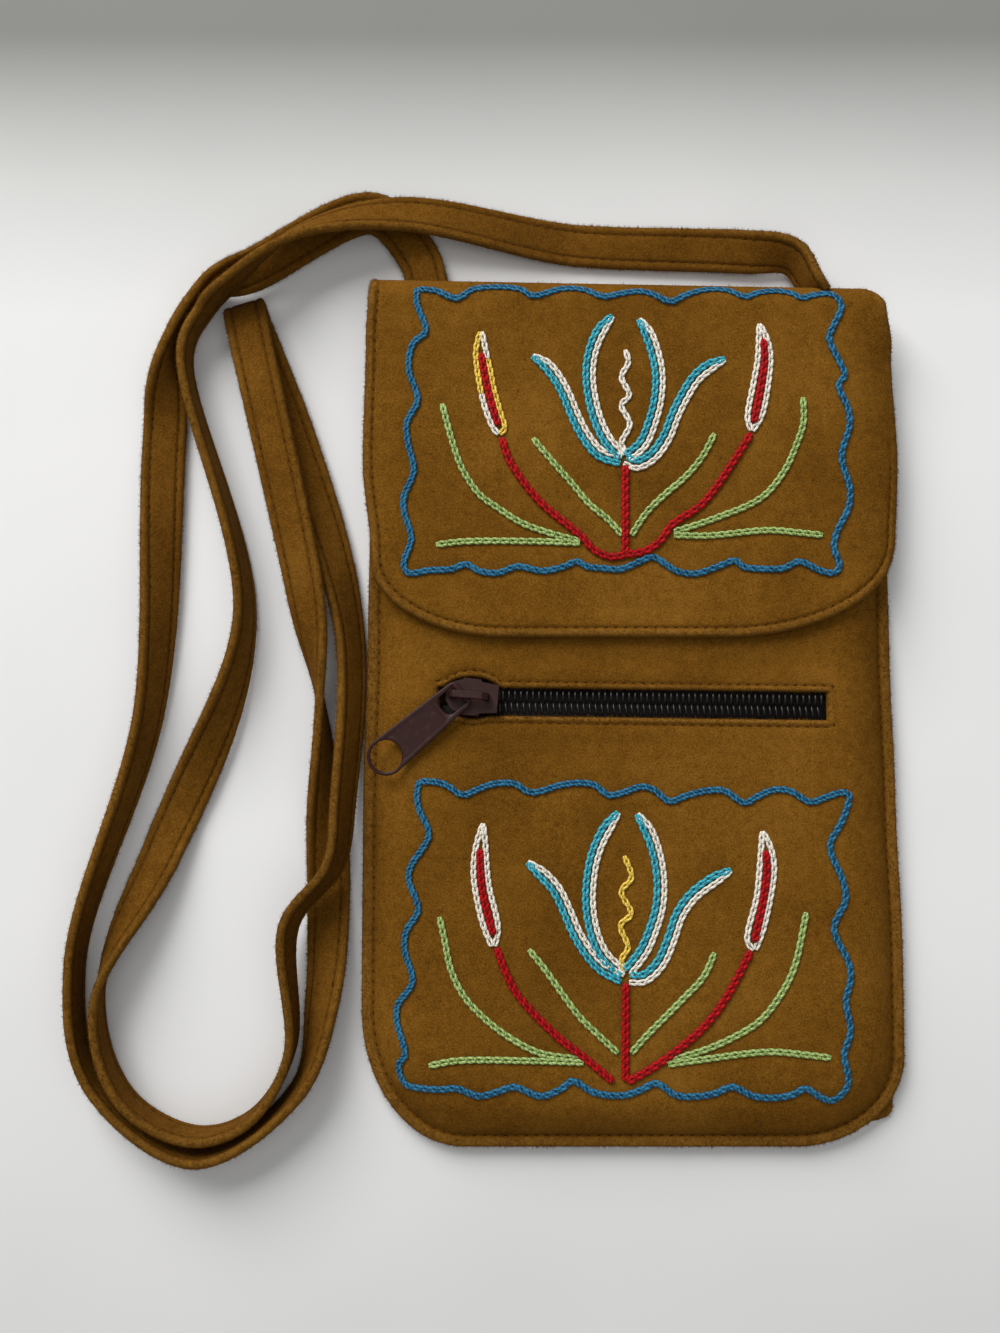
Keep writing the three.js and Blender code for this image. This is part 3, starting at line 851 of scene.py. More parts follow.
def hem_columns(left: Array, right: Array, hem: float, hem_count: int, middle_count: int) -> Array:
    """Columns of a sheet across each row, close together along both edges.

    Args:
        left: Left edge of each row.
        right: Right edge of each row.
        hem: Width of the close columns.
        hem_count: How many of them there are on each side.
        middle_count: How many columns fill the middle.

    Returns:
        Places across, by row and column.
    """
    near = hem * np.linspace(0, 1, hem_count + 1) ** HEM_SPREAD
    share = np.linspace(0, 1, middle_count + 1)[1:-1]
    hem_left, hem_right = left[:, None] + near, right[:, None] - near[::-1]
    middle = hem_left[:, -1:] + (hem_right[:, :1] - hem_left[:, -1:]) * share
    return np.concatenate([hem_left, middle, hem_right], axis=1)


@dataclass(frozen=True)
class Hem:
    """A turned and topstitched edge: a raised lip, the stitch line's groove, then a slight puff."""

    stitch: float
    lip: float
    groove: float
    round: float = 1.0
    # The lip falls away between these distances outside the stitch line, and so does its paleness, for wear
    # and as a painted highlight
    lip_slope: tuple[float, float] = (0.9, 0.1)
    groove_width: float = 0.34
    puff: float = 0.12
    puff_in: float = 2.2
    puff_width: float = 1.5
    rub_and_highlight_slope: tuple[float, float] = (1.0, 0.2)
    shade: float = 0.65
    shade_width: float = 0.36

    def relief(self, distance: Array) -> Array:
        """The hem's relief.

        Args:
            distance: Distances from the edge.

        Returns:
            Heights above the plain sheet.
        """
        start, end = (self.stitch - back for back in self.lip_slope)
        lip, groove = 1 - smoothstep(distance, start, end), bell(distance, self.stitch, self.groove_width)
        puff = bell(distance, self.stitch + self.puff_in, self.puff_width)
        return self.lip * lip - self.groove * groove + self.puff * puff

    def fullness(self, distance: Array) -> Array:
        """Share of the wall's thickness at a distance from the edge, which is rounded."""
        return np.sqrt(1 - (1 - np.clip(distance / self.round, 0, 1)) ** 2)

    def rub(self, distance: Array) -> Array:
        """How much the lip is made pale, partly for wear and partly as a painted highlight."""
        return 1 - smoothstep(distance, *(self.stitch - back for back in self.rub_and_highlight_slope))

    def seam(self, distance: Array) -> Array:
        """How dark the groove is painted: painted shade in the stitch line's groove."""
        return self.shade * bell(distance, self.stitch, self.shade_width)


def undulation(x: Array, y: Array) -> Array:
    """Slow waves of a worn sheet, from -1 to 1, whose lengths and phases don't fall into step."""
    return (np.sin(x / 7.9 + 0.6) * np.sin(y / 10.3 + 1.1) + 0.6 * np.sin((x + 0.8 * y) / 5.6)
            + 0.4 * np.sin((x - 1.4 * y) / 9.1 + 2.0)) / 2


# Heights of the front panel's sewn margin and flat front, and of the flap's lower and upper face
FLANGE_TOP = 3.55
FRONT_TOP = 9.2
FLAP_BOTTOM = 9.6
FLAP_TOP = 11.8

# Where a wall's rounded edge comes to its point, as a share of the wall's thickness
RIM_SHARE = 0.45

# Half the width of a chain loop and the radius of its thread: the red and the blue are pulled nearly shut
LOOP_SIZES: dict[Floss, tuple[float, float]] = {
    Floss.BLUE: (0.47, 0.46), Floss.RED: (0.54, 0.55), Floss.TURQUOISE: (0.54, 0.42),
    Floss.WHITE: (0.5, 0.36), Floss.YELLOW: (0.48, 0.36), Floss.GREEN: (0.54, 0.4)}

# How far each of a petal's two rows lies from the petal's middle line
PETAL_SHIFT = 0.9


@dataclass
class ThreadLine:
    """A line of chain stitch through given points, moved to its left where it is one of a pair."""

    floss: Floss
    points: Points
    shift: float = 0.0
    closed: bool = False
    spacing: float = 0.5
    parted: float = 5.0
    together: float = 0.25

    def course(self) -> Array:
        """The line in plan, where a pair's two rows draw together at the petal's tip.

        Returns:
            Points at an even spacing.
        """
        control = np.array(self.points + self.points[:1] if self.closed else self.points, float)
        line = resampled(spline(control, 8), self.spacing)
        if self.shift:
            ease = self.together + (1 - self.together) * smoothstep(lengths(line), 0, self.parted)
            line = line + (self.shift * ease)[:, None] * left_of(line)
        return line


@dataclass
class Spray:
    """A panel's pattern from given points: a closed frame, the petals and the other rows by colour."""

    frame: Points
    petals: list[Points]
    rows: dict[Floss, list[Points]]

    def lines(self) -> list[ThreadLine]:
        """Every line of chain stitch, with turquoise on the right of each petal, seen from its tip.

        Returns:
            The frame, each petal's pair of rows, then the other rows.
        """
        made = [ThreadLine(Floss.BLUE, self.frame, closed=True)]
        for points in self.petals:
            made += [ThreadLine(Floss.TURQUOISE, points, -PETAL_SHIFT),
                     ThreadLine(Floss.WHITE, points, PETAL_SHIFT)]
        return made + [ThreadLine(floss, points) for floss, group in self.rows.items() for points in group]


FLAP_SPRAY = Spray(
    frame=[
        (-52.4, 101.9), (-47.8, 101.4), (-42.7, 99.4), (-38.6, 101.9), (-32.5, 102.6), (-27.2, 101.9),
        (-24.3, 100.1), (-16.5, 102.2), (-11.9, 101.9), (-7, 99.9), (-2.8, 100.7), (1.8, 101.4),
        (4.8, 100.7), (9.4, 98.6), (13.2, 100.4), (18.6, 102.1), (23.2, 101.9), (27.7, 99.9), (30.8, 101.1),
        (35.4, 101.7), (39.2, 100.9), (41.2, 99.6), (44.5, 100.5), (48.7, 100.7), (50.9, 97.8), (49, 92.8),
        (47.8, 89.7), (50.7, 82.7), (51.5, 80.4), (49.9, 78.1), (52.2, 71.9), (52.4, 68.1), (50.4, 60.4),
        (52.3, 52.7), (51.9, 48.2), (48.8, 41.7), (48.2, 38.3), (49.5, 33.7), (48.1, 32.2), (45.1, 32.6),
        (39.7, 34.9), (36, 33.3), (31.5, 33.1), (26.2, 33.7), (24.4, 35.2), (21.7, 34.3), (14.9, 32),
        (10.4, 32.6), (4.6, 36), (1.4, 34.9), (-3.1, 33.1), (-7.7, 33.3), (-11.4, 33.7), (-13.7, 34.9),
        (-16.7, 33.7), (-22, 32.6), (-28, 33.7), (-32.5, 32.2), (-37.1, 32.6), (-40.4, 34.3), (-43.8, 33.1),
        (-49.1, 32.8), (-54.4, 32.2), (-55.3, 34.5), (-53.5, 40.6), (-55.2, 46.6), (-55.4, 50.5), (-53, 57),
        (-54.5, 64.2), (-54.7, 68.8), (-52.1, 74.4), (-54.2, 81.2), (-54.2, 85), (-53.1, 88.5),
        (-50.2, 91.2), (-52.4, 98.2),
    ],
    petals=[
        [(-24.3, 85.2), (-21.1, 83.1), (-18.5, 80), (-16.2, 75.8), (-14.3, 71.1), (-11.7, 65.8),
         (-7.9, 61.2), (-2.9, 59.6)],
        [(-4.7, 95.1), (-7.8, 91.2), (-9.9, 85.8), (-10.5, 80.4), (-9.8, 74.2), (-8.3, 68.8), (-6, 64.2),
         (-2.6, 60.4)],
        [(1.6, 94.3), (3.6, 91.2), (5.5, 85.8), (6.4, 80.4), (6, 74.2), (4.6, 68.8), (2.3, 63.5),
         (-1.5, 60.2)],
        [(22.6, 84.4), (18.4, 82.3), (15.3, 79.6), (12.6, 75.4), (10.3, 70.8), (8, 65), (4.6, 60.4),
         (0.8, 58.5), (-1.9, 59.6)],
    ],
    rows={
        Floss.RED: [
            [(-1.9, 58.3), (-2, 36.8)],
            [(-31.8, 65), (-29.9, 59.6), (-26.5, 54.3), (-22, 48.9), (-12.9, 41.3), (-9.2, 37.5), (-5.4, 36),
             (-2, 36.6)],
            [(28.5, 66.1), (25, 60.4), (16.6, 48.9), (9, 43.6), (6.7, 40.2), (2.9, 37.5), (-2, 36.6)],
            [(-36.7, 85.8), (-36, 81.2), (-34.8, 75.8), (-33.3, 70.4), (-32.5, 68.1)],
            [(31.8, 89.3), (32.1, 84.2), (31.3, 78.8), (29.3, 68.8)],
        ],
        Floss.WHITE: [
            [(-1.7, 86.7), (-1, 83.5), (-2.7, 80), (-0.8, 75.4), (-2.8, 73.1), (-0.7, 68.4), (-2.8, 63.8),
             (-1.9, 61.5)],
            [(-36.8, 76.4), (-35.6, 71.9), (-33.7, 67.3), (-32.5, 65.9)],
            [(-36.6, 91.2), (-35.9, 88), (-35.2, 84.5)],
            [(30.9, 93.1), (30.4, 84.2), (29.4, 78.8), (27.8, 69.6), (28.7, 66.8)],
            [(30.9, 93.1), (32.6, 89.7), (33.5, 85.8), (33.2, 80.4), (31.2, 70.4), (28.9, 66.7)],
        ],
        Floss.YELLOW: [
            [(-37, 91.1), (-38, 86.6), (-37.7, 81.9), (-36.7, 75.9)],
            [(-35.3, 85), (-34.4, 81.2), (-33.7, 77.3), (-31.8, 70.4), (-31, 67.3), (-32.2, 65.9)],
        ],
        Floss.GREEN: [
            [(-46.2, 73.4), (-43.5, 63.5), (-41.2, 57.3), (-37.1, 51.2), (-32.5, 47.8), (-27.2, 44.4),
             (-21.2, 42.1), (-12.9, 39.8)],
            [(-47.6, 39), (-40.8, 39.8), (-24.2, 39.8), (-12.9, 39.4)],
            [(-24.2, 65), (-20.4, 60.4), (-15.1, 54.3), (-10.6, 48.9), (-6.1, 45.1), (-2.7, 41.3)],
            [(19.8, 66.1), (16.7, 60.4), (12.9, 55.8), (6.8, 50.5), (3, 46.6), (-0.5, 41.3)],
            [(41.3, 75), (41.3, 68.8), (39.4, 63.1), (36.7, 57.3), (31, 50.5), (18.8, 45.1), (9.7, 42.1)],
            [(45.6, 41.3), (39.9, 41.9), (32.4, 42.5), (18, 41.2), (9.7, 41.3)],
        ],
    })

POCKET_SPRAY = Spray(
    frame=[
        (-51.6, -17.8), (-47, -18.1), (-44.6, -19), (-41.1, -21.1), (-37.2, -19.6), (-33.4, -18.4),
        (-28.7, -18.4), (-24.8, -20.5), (-17.5, -18.7), (-13.2, -18.2), (-9.3, -18.8), (-6.2, -21.1),
        (-2.3, -20.4), (1.6, -19.1), (4.7, -19.8), (8.5, -22.6), (12.4, -21.3), (17.9, -20), (21.7, -20.1),
        (26.5, -23), (29.5, -21.5), (33.4, -19.9), (37.3, -20.1), (42.3, -22.8), (45.8, -21.7),
        (49.7, -20.5), (51.6, -20.9), (51.2, -23.6), (49.7, -27.5), (46.8, -33.3), (49.7, -41.3),
        (50.4, -45.9), (47.5, -52.8), (51, -61.2), (51.3, -65), (50.1, -69.9), (51.1, -77.1), (49.5, -82.4),
        (50.5, -89.2), (49, -91.9), (46.6, -93.4), (44, -92.6), (40.2, -90.4), (37.1, -91.9), (32.5, -92.6),
        (27.9, -92.2), (22.9, -90), (18.7, -91.5), (14.1, -92.2), (9.5, -91.9), (4.8, -89.1), (1.1, -90.7),
        (-2.7, -91.9), (-6.6, -91.9), (-10.4, -91.1), (-15, -88.6), (-17.6, -90.4), (-22.6, -92.2),
        (-28.8, -90), (-32.6, -91.1), (-37.2, -92.2), (-42.4, -90.4), (-46.4, -90.7), (-51.7, -90.6),
        (-54.8, -90), (-56.4, -85.5), (-54.8, -82.8), (-56.8, -74.9), (-56.6, -71.1), (-53, -65.4),
        (-54.9, -58.1), (-54.6, -53.6), (-51.7, -48.4), (-54, -41.3), (-53.6, -38.3), (-49.2, -30.6),
        (-51.6, -24.4), (-52.1, -21.3),
    ],
    petals=[
        [(-25.6, -37.1), (-21.8, -40.2), (-18.7, -43.6), (-16.4, -48.2), (-14.1, -53.6), (-11.4, -58.1),
         (-7.9, -62), (-3, -64.6)],
        [(-3.7, -25.2), (-7, -29.8), (-9.4, -35.2), (-10.6, -41.3), (-10.8, -47.5), (-9.8, -53.6),
         (-7.5, -58.9), (-2.9, -63.5)],
        [(0.7, -25.6), (3.4, -29.8), (5.3, -35.2), (6.2, -41.3), (5.9, -47.5), (4.4, -52.8), (2.1, -58.1),
         (-1.8, -63.1)],
        [(23.2, -39), (18.4, -41.7), (13.8, -45.2), (10.6, -49.7), (8.7, -55.1), (5.9, -61.2), (2, -64.6),
         (-1.4, -64.6)],
    ],
    rows={
        Floss.RED: [
            [(-2.2, -65.8), (-2.5, -88.5)],
            [(-33, -57.4), (-31, -62.7), (-28, -68.4), (-18, -78.7), (-12.6, -82.8), (-5.4, -88.7)],
            [(27.5, -58.1), (24.8, -63.5), (20.8, -70.3), (15.8, -76.4), (5.8, -84.3), (-1.9, -88.8)],
            [(-37, -34), (-36.8, -39), (-36.1, -45.2), (-33.7, -54.3)],
            [(31.4, -34.4), (31.6, -39.8), (30.7, -45.9), (28.5, -55.9)],
        ],
        Floss.YELLOW: [
            [(-2.4, -35.6), (-0.7, -40.9), (-3.2, -44), (-0.8, -49.4), (-3.4, -52), (-1.6, -57.4),
             (-3.2, -60.1), (-2.7, -62.7)],
        ],
        Floss.WHITE: [
            [(-36.2, -27.9), (-37.6, -32.1), (-38.4, -36.7), (-38.4, -41.3), (-36.4, -51.3), (-34.1, -57)],
            [(-36.2, -27.9), (-35.7, -32.1), (-34.9, -42.1), (-32.6, -52.8), (-33.4, -57)],
            [(30.7, -29.8), (29.9, -39), (29.2, -45.2), (26.8, -55.9), (28.3, -57.8)],
            [(30.7, -29.8), (32.4, -32.9), (33.4, -37.5), (33.1, -42.1), (30.7, -52.8), (28.7, -57.8)],
        ],
        Floss.GREEN: [
            [(-46.6, -50.1), (-45.3, -55.9), (-43.8, -62.7), (-40.7, -68.8), (-35.7, -74.1), (-29.5, -78.7),
             (-22.6, -82.1), (-12.6, -83.6)],
            [(-49.1, -85.1), (-42.6, -83.9), (-24.9, -83.9), (-12.3, -84.3)],
            [(-25.3, -57.8), (-21.8, -62), (-13.4, -73.4), (-8.8, -77.9), (-4.2, -82.1)],
            [(19, -58.5), (16.3, -64.2), (11.2, -69.6), (2, -78.7), (-1, -82.1)],
            [(41, -49), (37.9, -62), (34.3, -68.8), (29.6, -74.5), (23.5, -78.3), (16.5, -81.3),
             (7.3, -83.9)],
            [(46.4, -83.2), (39.5, -82.4), (31.9, -81.8), (15.7, -83.6), (7.7, -84.7)],
        ],
    })


@dataclass
class ChainEmbroidery:
    """Chain-stitch embroidery on a panel: one piece for each thread colour."""

    name: str
    lines: list[ThreadLine]
    pitch: float = 2.15
    overlap: float = 1.28
    tail: float = 0.25
    lift: float = 0.22
    dent: float = 0.25
    dent_reach: float = 1.5
    tree: KDTree = field(init=False)

    def __post_init__(self) -> None:
        """Gather the lines' points, where the thread pulls the suede down."""
        points = np.vstack([line.course() for line in self.lines])
        self.tree = KDTree(len(points))
        for i, (x, y) in enumerate(points):
            self.tree.insert((x, y, 0), i)
        self.tree.balance()

    def dents(self, x: Array, y: Array) -> Array:
        """How far the thread pulls the suede down."""
        near = np.array([self.tree.find((a, b, 0))[2] for a, b in zip(np.ravel(x), np.ravel(y))])
        return (self.dent * bell(near, 0, self.dent_reach)).reshape(np.shape(x))

    def build(self, height: Height, finishes: dict[Floss, Material]) -> list[Object]:
        """Stitch every line.

        Args:
            height: The panel's outer face.
            finishes: The thread material of each colour.

        Returns:
            One piece for each colour that the lines use.
        """
        made = []
        for floss in Floss:
            batches = []
            for line in (one for one in self.lines if one.floss is floss):
                course = line.course()
                total = lengths(course)[-1]
                count = max(1, round(total / self.pitch))
                pitch = total / (count + self.tail)
                loop = ChainLoop(pitch * self.overlap, *LOOP_SIZES[floss], self.lift).stamp()
                batches.append((loop, sewn(course, np.arange(count) * pitch, loop, height)))
            if batches:
                piece = stamped(f"{self.name}_{floss.name.lower()}", batches, finishes[floss])
                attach(piece, "bag")
                made.append(piece)
        return made


@dataclass
class BackAndFlap:
    """One sheet of suede: the back, the fold over the top and the flap with its rounded lower corners."""

    back: Outline = Outline(
        ((98, -64.2, 62.4), (14, -63.6, 62.6), (-60, -64.6, 63.4), (-106, -64.6, 63.2)),
        -104.6, Corner(25, 33), Corner(3.5, 3))
    flap: Outline = Outline(
        ((99, -64.4, 62.2), (89, -65, 64.2), (60, -65.6, 65.4), (36, -63.4, 64.4), (16, -63, 64.2)),
        16.7, Corner(32, 19), Corner(42, 24))
    back_thickness: float = 1.6
    fold_start: float = 98.688
    fold_reach: float = 5.9
    fold_wall: float = 1.9
    fold_left: float = -64.0
    fold_right: float = 57.5
    fold_steps: int = 26
    # Angles round the fold between which the hem sets in, and from which the edge is drawn
    hem_turn: tuple[float, float] = (0.2, 1.1)
    edge_from: float = 0.05
    # The top edge's rise per millimetre across, and the level from which it sets in
    slant: float = -0.0188
    slant_from: float = 60.0
    # How far each side droops, and how far in the droop reaches
    droop_left: tuple[float, float] = (1.4, 10.0)
    droop_right: tuple[float, float] = (4.2, 14.0)
    # The back's lower right corner: where across its climb starts, its rise, and its height
    climb: tuple[float, float, float] = (10.0, 5.4, 34.0)
    # Between which places the right edge goes over to curling under
    curl_across: tuple[float, float] = (-20.0, 20.0)
    curl_up: tuple[float, float] = (40.0, 74.0)
    wave: float = 0.22
    # Distances from the edge between which the waves set in, and from the fold where they end
    calm: tuple[float, float] = (2.0, 14.0)
    calm_fold: float = 8.0
    hem: Hem = Hem(2.35, 0.22, 0.3)
    # How pale the edge is made, for wear and as a painted highlight, and how much more where its hem shows
    rubbed_and_lit: tuple[float, float] = (0.35, 0.3)
    hem_width: float = 5.0
    hem_columns: int = 20
    middle_columns: int = 116
    # Spacing of the rows, then the height and spacing of the close ones along the hem
    back_rows: tuple[float, float, float] = (5.0, 33.0, 1.6)
    flap_rows: tuple[float, float, float] = (0.75, 7.0, 0.28)
    topstitch: Topstitch = Topstitch(1.75, 0.25, 0.3, 2.4, (1.5, 1.0))
    # How far over the fold the seam runs, and how plainly the hem shows where it is sewn
    seam_top: float = 0.75
    seam_shown: float = 0.4
    fibres: int = 30000
    embroidery: ChainEmbroidery = field(
        default_factory=lambda: ChainEmbroidery("flap_embroidery", FLAP_SPRAY.lines()))

    def fold_edges(self, angle: Array) -> tuple[Array, Array]:
        """Side edges round the fold.

        Args:
            angle: Angle round the fold, from -90 degrees on the back to 90 on the flap, in radians.

        Returns:
            Left and right edges.
        """
        reach, share = np.cos(angle), (1 + np.sin(angle)) / 2
        start = np.array(self.fold_start)
        (back_left, back_right), (flap_left, flap_right) = self.back.sides(start), self.flap.sides(start)
        left = back_left + (flap_left - back_left) * share
        right = back_right + (flap_right - back_right) * share
        return left + (self.fold_left - left) * reach, right + (self.fold_right - right) * reach ** 2

    def edge_line(self) -> Array:
        """The flap's edge in plan.

        Returns:
            Points from the top of the fold on the left round to the right.
        """
        angle = np.linspace(self.edge_from, math.pi / 2, 16)[:-1]
        left, right = self.fold_edges(angle)
        y = self.fold_start + self.fold_reach * np.cos(angle)
        return np.vstack([np.column_stack([left, y]), self.flap.line(self.fold_start),
                          np.column_stack([right, y])[::-1]])

    def slanted(self, x: Array, y: Array, way: int = 1) -> Array:
        """Levels after the top edge's slant, or with it taken off, for a way of -1."""
        return y + way * self.slant * x * smoothstep(y, self.slant_from, self.fold_start)

    def flap_droop(self, x: Array, y: Array) -> Array:
        """How far the flap's sides droop.

        Args:
            x: Places across the flap.
            y: Places up the flap, before the slant.

        Returns:
            Depths below the flap's top.
        """
        left, right = self.flap.sides(y)
        near_left = np.clip(1 - (x - left) / self.droop_left[1], 0, None)
        near_right = np.clip(1 - (right - x) / self.droop_right[1], 0, None)
        fade = smoothstep(self.fold_start - y, 0, self.droop_right[1])
        return fade * (self.droop_left[0] * near_left ** 2 + self.droop_right[0] * near_right ** 2)

    def hemmed(self, x: Array, y: Array) -> Array:
        """How far the hem shows: in full but for the upper right, where the edge curls under."""
        return 1 - smoothstep(x, *self.curl_across) * smoothstep(y, *self.curl_up)

    def height(self, x: Array, y: Array) -> Array:
        """Height of the flap's outer face.

        Args:
            x: Places across the flap.
            y: Places up the flap.

        Returns:
            Heights, in the shape of x.
        """
        level = self.slanted(x, y, -1)
        over = np.clip((level - self.fold_start) / self.fold_reach, 0, 1)
        base = FLAP_TOP * (1 + np.sqrt(1 - over ** 2)) / 2 - self.flap_droop(x, level)
        edge = edge_distance(x, level, self.edge_line())
        by_fold = smoothstep(level, self.fold_start - self.calm_fold, self.fold_start)
        waves = self.wave * smoothstep(edge, *self.calm) * (1 - by_fold) * undulation(x, y)
        relief = self.hem.relief(edge) * self.hemmed(x, level)
        return base + relief + waves - self.embroidery.dents(x, y)

    def back_walls(self, x: Array, y: Array, full: Array) -> Array:
        """The back, whose lower right corner climbs where its tab shows past the front.

        Args:
            x: Places across, by row and column.
            y: Levels of the rows.
            full: Share of the wall's thickness at each place.

        Returns:
            Levels and heights, first of the outer face and then of the inner one.
        """
        corner = np.clip((x - self.climb[0]) / (self.back.rows[-1][2] - self.climb[0]), 0, None)
        rise = np.clip(1 - (y - self.back.bottom) / self.climb[2], 0, None)
        climbed = self.slanted(x, y[:, None] + rise[:, None] * self.climb[1] * corner ** 2)
        middle = self.back_thickness / 2
        return np.array([[climbed, middle - middle * full], [climbed, middle + middle * full]])

    def fold_walls(self, x: Array, angle: Array, hem: Array, full: Array) -> Array:
        """The fold, with the hem carried round it.

        Args:
            x: Places across, by row and column.
            angle: Angles of the rows round the fold.
            hem: Height of the hem's relief at each place.
            full: Share of the wall's thickness at each place.

        Returns:
            Levels and heights, first of the outer face and then of the inner one.
        """
        reach, turn = np.cos(angle)[:, None], np.sin(angle)[:, None]
        out = np.stack([self.fold_start + self.fold_reach * reach + hem * reach,
                        FLAP_TOP * (1 + turn) / 2 + hem * turn])
        half, centre = (FLAP_BOTTOM - self.back_thickness) / 2, (FLAP_BOTTOM + self.back_thickness) / 2
        within = np.stack([self.fold_start + (self.fold_reach - self.fold_wall) * reach,
                           centre + half * turn])
        core = (out + within) / 2
        walls = [core + (goal - core) * full for goal in (out, within)]
        return np.array([[self.slanted(x, level), height] for level, height in walls])

    def flap_walls(self, x: Array, level: Array, full: Array) -> Array:
        """The flap.

        Args:
            x: Places across, by row and column.
            level: Places up, before the slant.
            full: Share of the wall's thickness at each place.

        Returns:
            Levels and heights, first of the outer face and then of the inner one.
        """
        world = self.slanted(x, level)
        under = FLAP_BOTTOM - self.flap_droop(x, level)
        rim = under + RIM_SHARE * (FLAP_TOP - FLAP_BOTTOM)
        return np.array([[world, rim + (face - rim) * full] for face in (self.height(x, world), under)])

    def sheet(self) -> BMesh:
        """Make the sheet, bottom of the back to bottom of the flap.

        Returns:
            A closed wall with rub and seam marks.
        """
        back_y = self.back.levels(self.fold_start, *self.back_rows)
        angle = np.linspace(-math.pi / 2, math.pi / 2, self.fold_steps)[1:-1]
        flap_y = self.flap.levels(self.fold_start, *self.flap_rows)[::-1]
        stretches = self.back.edges(back_y), self.fold_edges(angle), self.flap.edges(flap_y)
        left, right = (np.concatenate(sides)[:, None] for sides in zip(*stretches))
        x = hem_columns(left[:, 0], right[:, 0], self.hem_width, self.hem_columns, self.middle_columns)
        on_back = slice(0, len(back_y))
        on_fold = slice(len(back_y), len(back_y) + len(angle))
        on_flap = slice(len(back_y) + len(angle), None)

        edge, shown = np.minimum(x - left, right - x).clip(0), np.zeros(x.shape)
        up = (back_y - self.back.bottom).clip(0)[:, None]
        edge[on_back] = edge[on_back] * up / np.hypot(edge[on_back], up).clip(1e-6)
        level = np.outer(flap_y, np.ones(x.shape[1]))
        edge[on_flap] = edge_distance(x[on_flap], level, self.edge_line())
        edge[-1], edge[on_flap, 0], edge[on_flap, -1] = 0, 0, 0
        shown[on_fold] = smoothstep(angle, *self.hem_turn)[:, None] * (x[on_fold] < 0)
        shown[on_flap] = self.hemmed(x[on_flap], level)

        full, hem = self.hem.fullness(edge), self.hem.relief(x - left) * shown
        walls = np.concatenate([self.back_walls(x[on_back], back_y, full[on_back]),
                                self.fold_walls(x[on_fold], angle, hem[on_fold], full[on_fold]),
                                self.flap_walls(x[on_flap], level, full[on_flap])], axis=2)
        places = np.stack([np.stack([x, *wall], axis=2) for wall in walls])
        # Painted marks: the edge pale for wear and as a painted highlight, and painted shade in the stitch
        # groove
        rub = self.hem.rub(edge) * (self.rubbed_and_lit[0] + self.rubbed_and_lit[1] * shown)
        seam = self.hem.seam(edge) * shown
        return placed_grid(places, {"rub": np.stack([rub, rub]), "seam": np.stack([seam, seam * 0])})

    def build(self, suede: Material, thread: Material, finishes: dict[Floss, Material]) -> list[Object]:
        """Make and dress the sheet, its topstitching and its embroidery.

        Args:
            suede: The sheet's suede.
            thread: The sewing thread.
            finishes: The embroidery's threads.

        Returns:
            The pieces, the sheet first.
        """
        piece = as_object("back_and_flap_suede", self.sheet(), suede)
        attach(piece, "bag")
        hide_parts("back_and_flap")
        edge = self.edge_line()
        edge = resampled(edge[edge[:, 1] < self.fold_start + self.seam_top * self.fold_reach], 1.0)
        line = edge + self.hem.stitch * left_of(edge)
        starts = self.topstitch.starts(line)
        starts = starts[self.hemmed(*along(lengths(line), line, starts).T) > self.seam_shown]
        stitch = self.topstitch.stamp()
        stitches = stamped("flap_topstitch", [(stitch, sewn(line, starts, stitch, self.height))], thread)
        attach(stitches, "bag")
        nap = Nap(self.fibres).build("flap_nap", piece)
        threads = self.embroidery.build(self.height, finishes)
        return [piece, stitches, nap, *threads]


@dataclass
class ZipPlace:
    """Where the zip lies on the front panel, and the slot that is cut for it."""

    y: float = 0.85
    tilt: float = math.radians(-0.78)
    half_length: float = 46.65
    half_height: float = 3.4
    # Round the slider: the middle across and up, then half the width and half the height
    bulge: tuple[float, float, float, float] = (-38.8, 0.95, 7.6, 5.0)

    def matrix(self) -> Matrix:
        """From the zip's own frame to the bag's, in mm."""
        return Matrix.Translation((0, self.y, 0)) @ Matrix.Rotation(self.tilt, 4, "Z")

    def rise(self, x: Array, side: int) -> Array:
        """How far the slot's edge bulges round the slider, beyond its straight edge.

        Args:
            x: Places across the bag.
            side: 1 for the upper edge, -1 for the lower.

        Returns:
            Distances beyond half the slot's height.
        """
        middle, centre, width, height = self.bulge
        over = np.clip(1 - ((x - middle) / width) ** 2, 0, None)
        return np.clip(side * centre + height * np.sqrt(over) - self.half_height, 0, None) * (over > 0)

    def edge(self, x: Array, side: int) -> Array:
        """The slot's upper or lower edge at places across the bag."""
        return self.y + math.tan(self.tilt) * x + side * (self.half_height + self.rise(x, side))

    def line(self, margin: float = 0.0) -> Array:
        """The slot's outline in plan, or a line round it at a margin.

        Args:
            margin: Distance outside the slot.

        Returns:
            A closed line.
        """
        x = np.linspace(-self.half_length - margin, self.half_length + margin, 300)
        upper, lower = self.edge(x, 1) + margin, self.edge(x, -1) - margin
        ring = np.vstack([np.column_stack([x, upper]), np.column_stack([x, lower])[::-1]])
        return np.vstack([ring, ring[:1]])


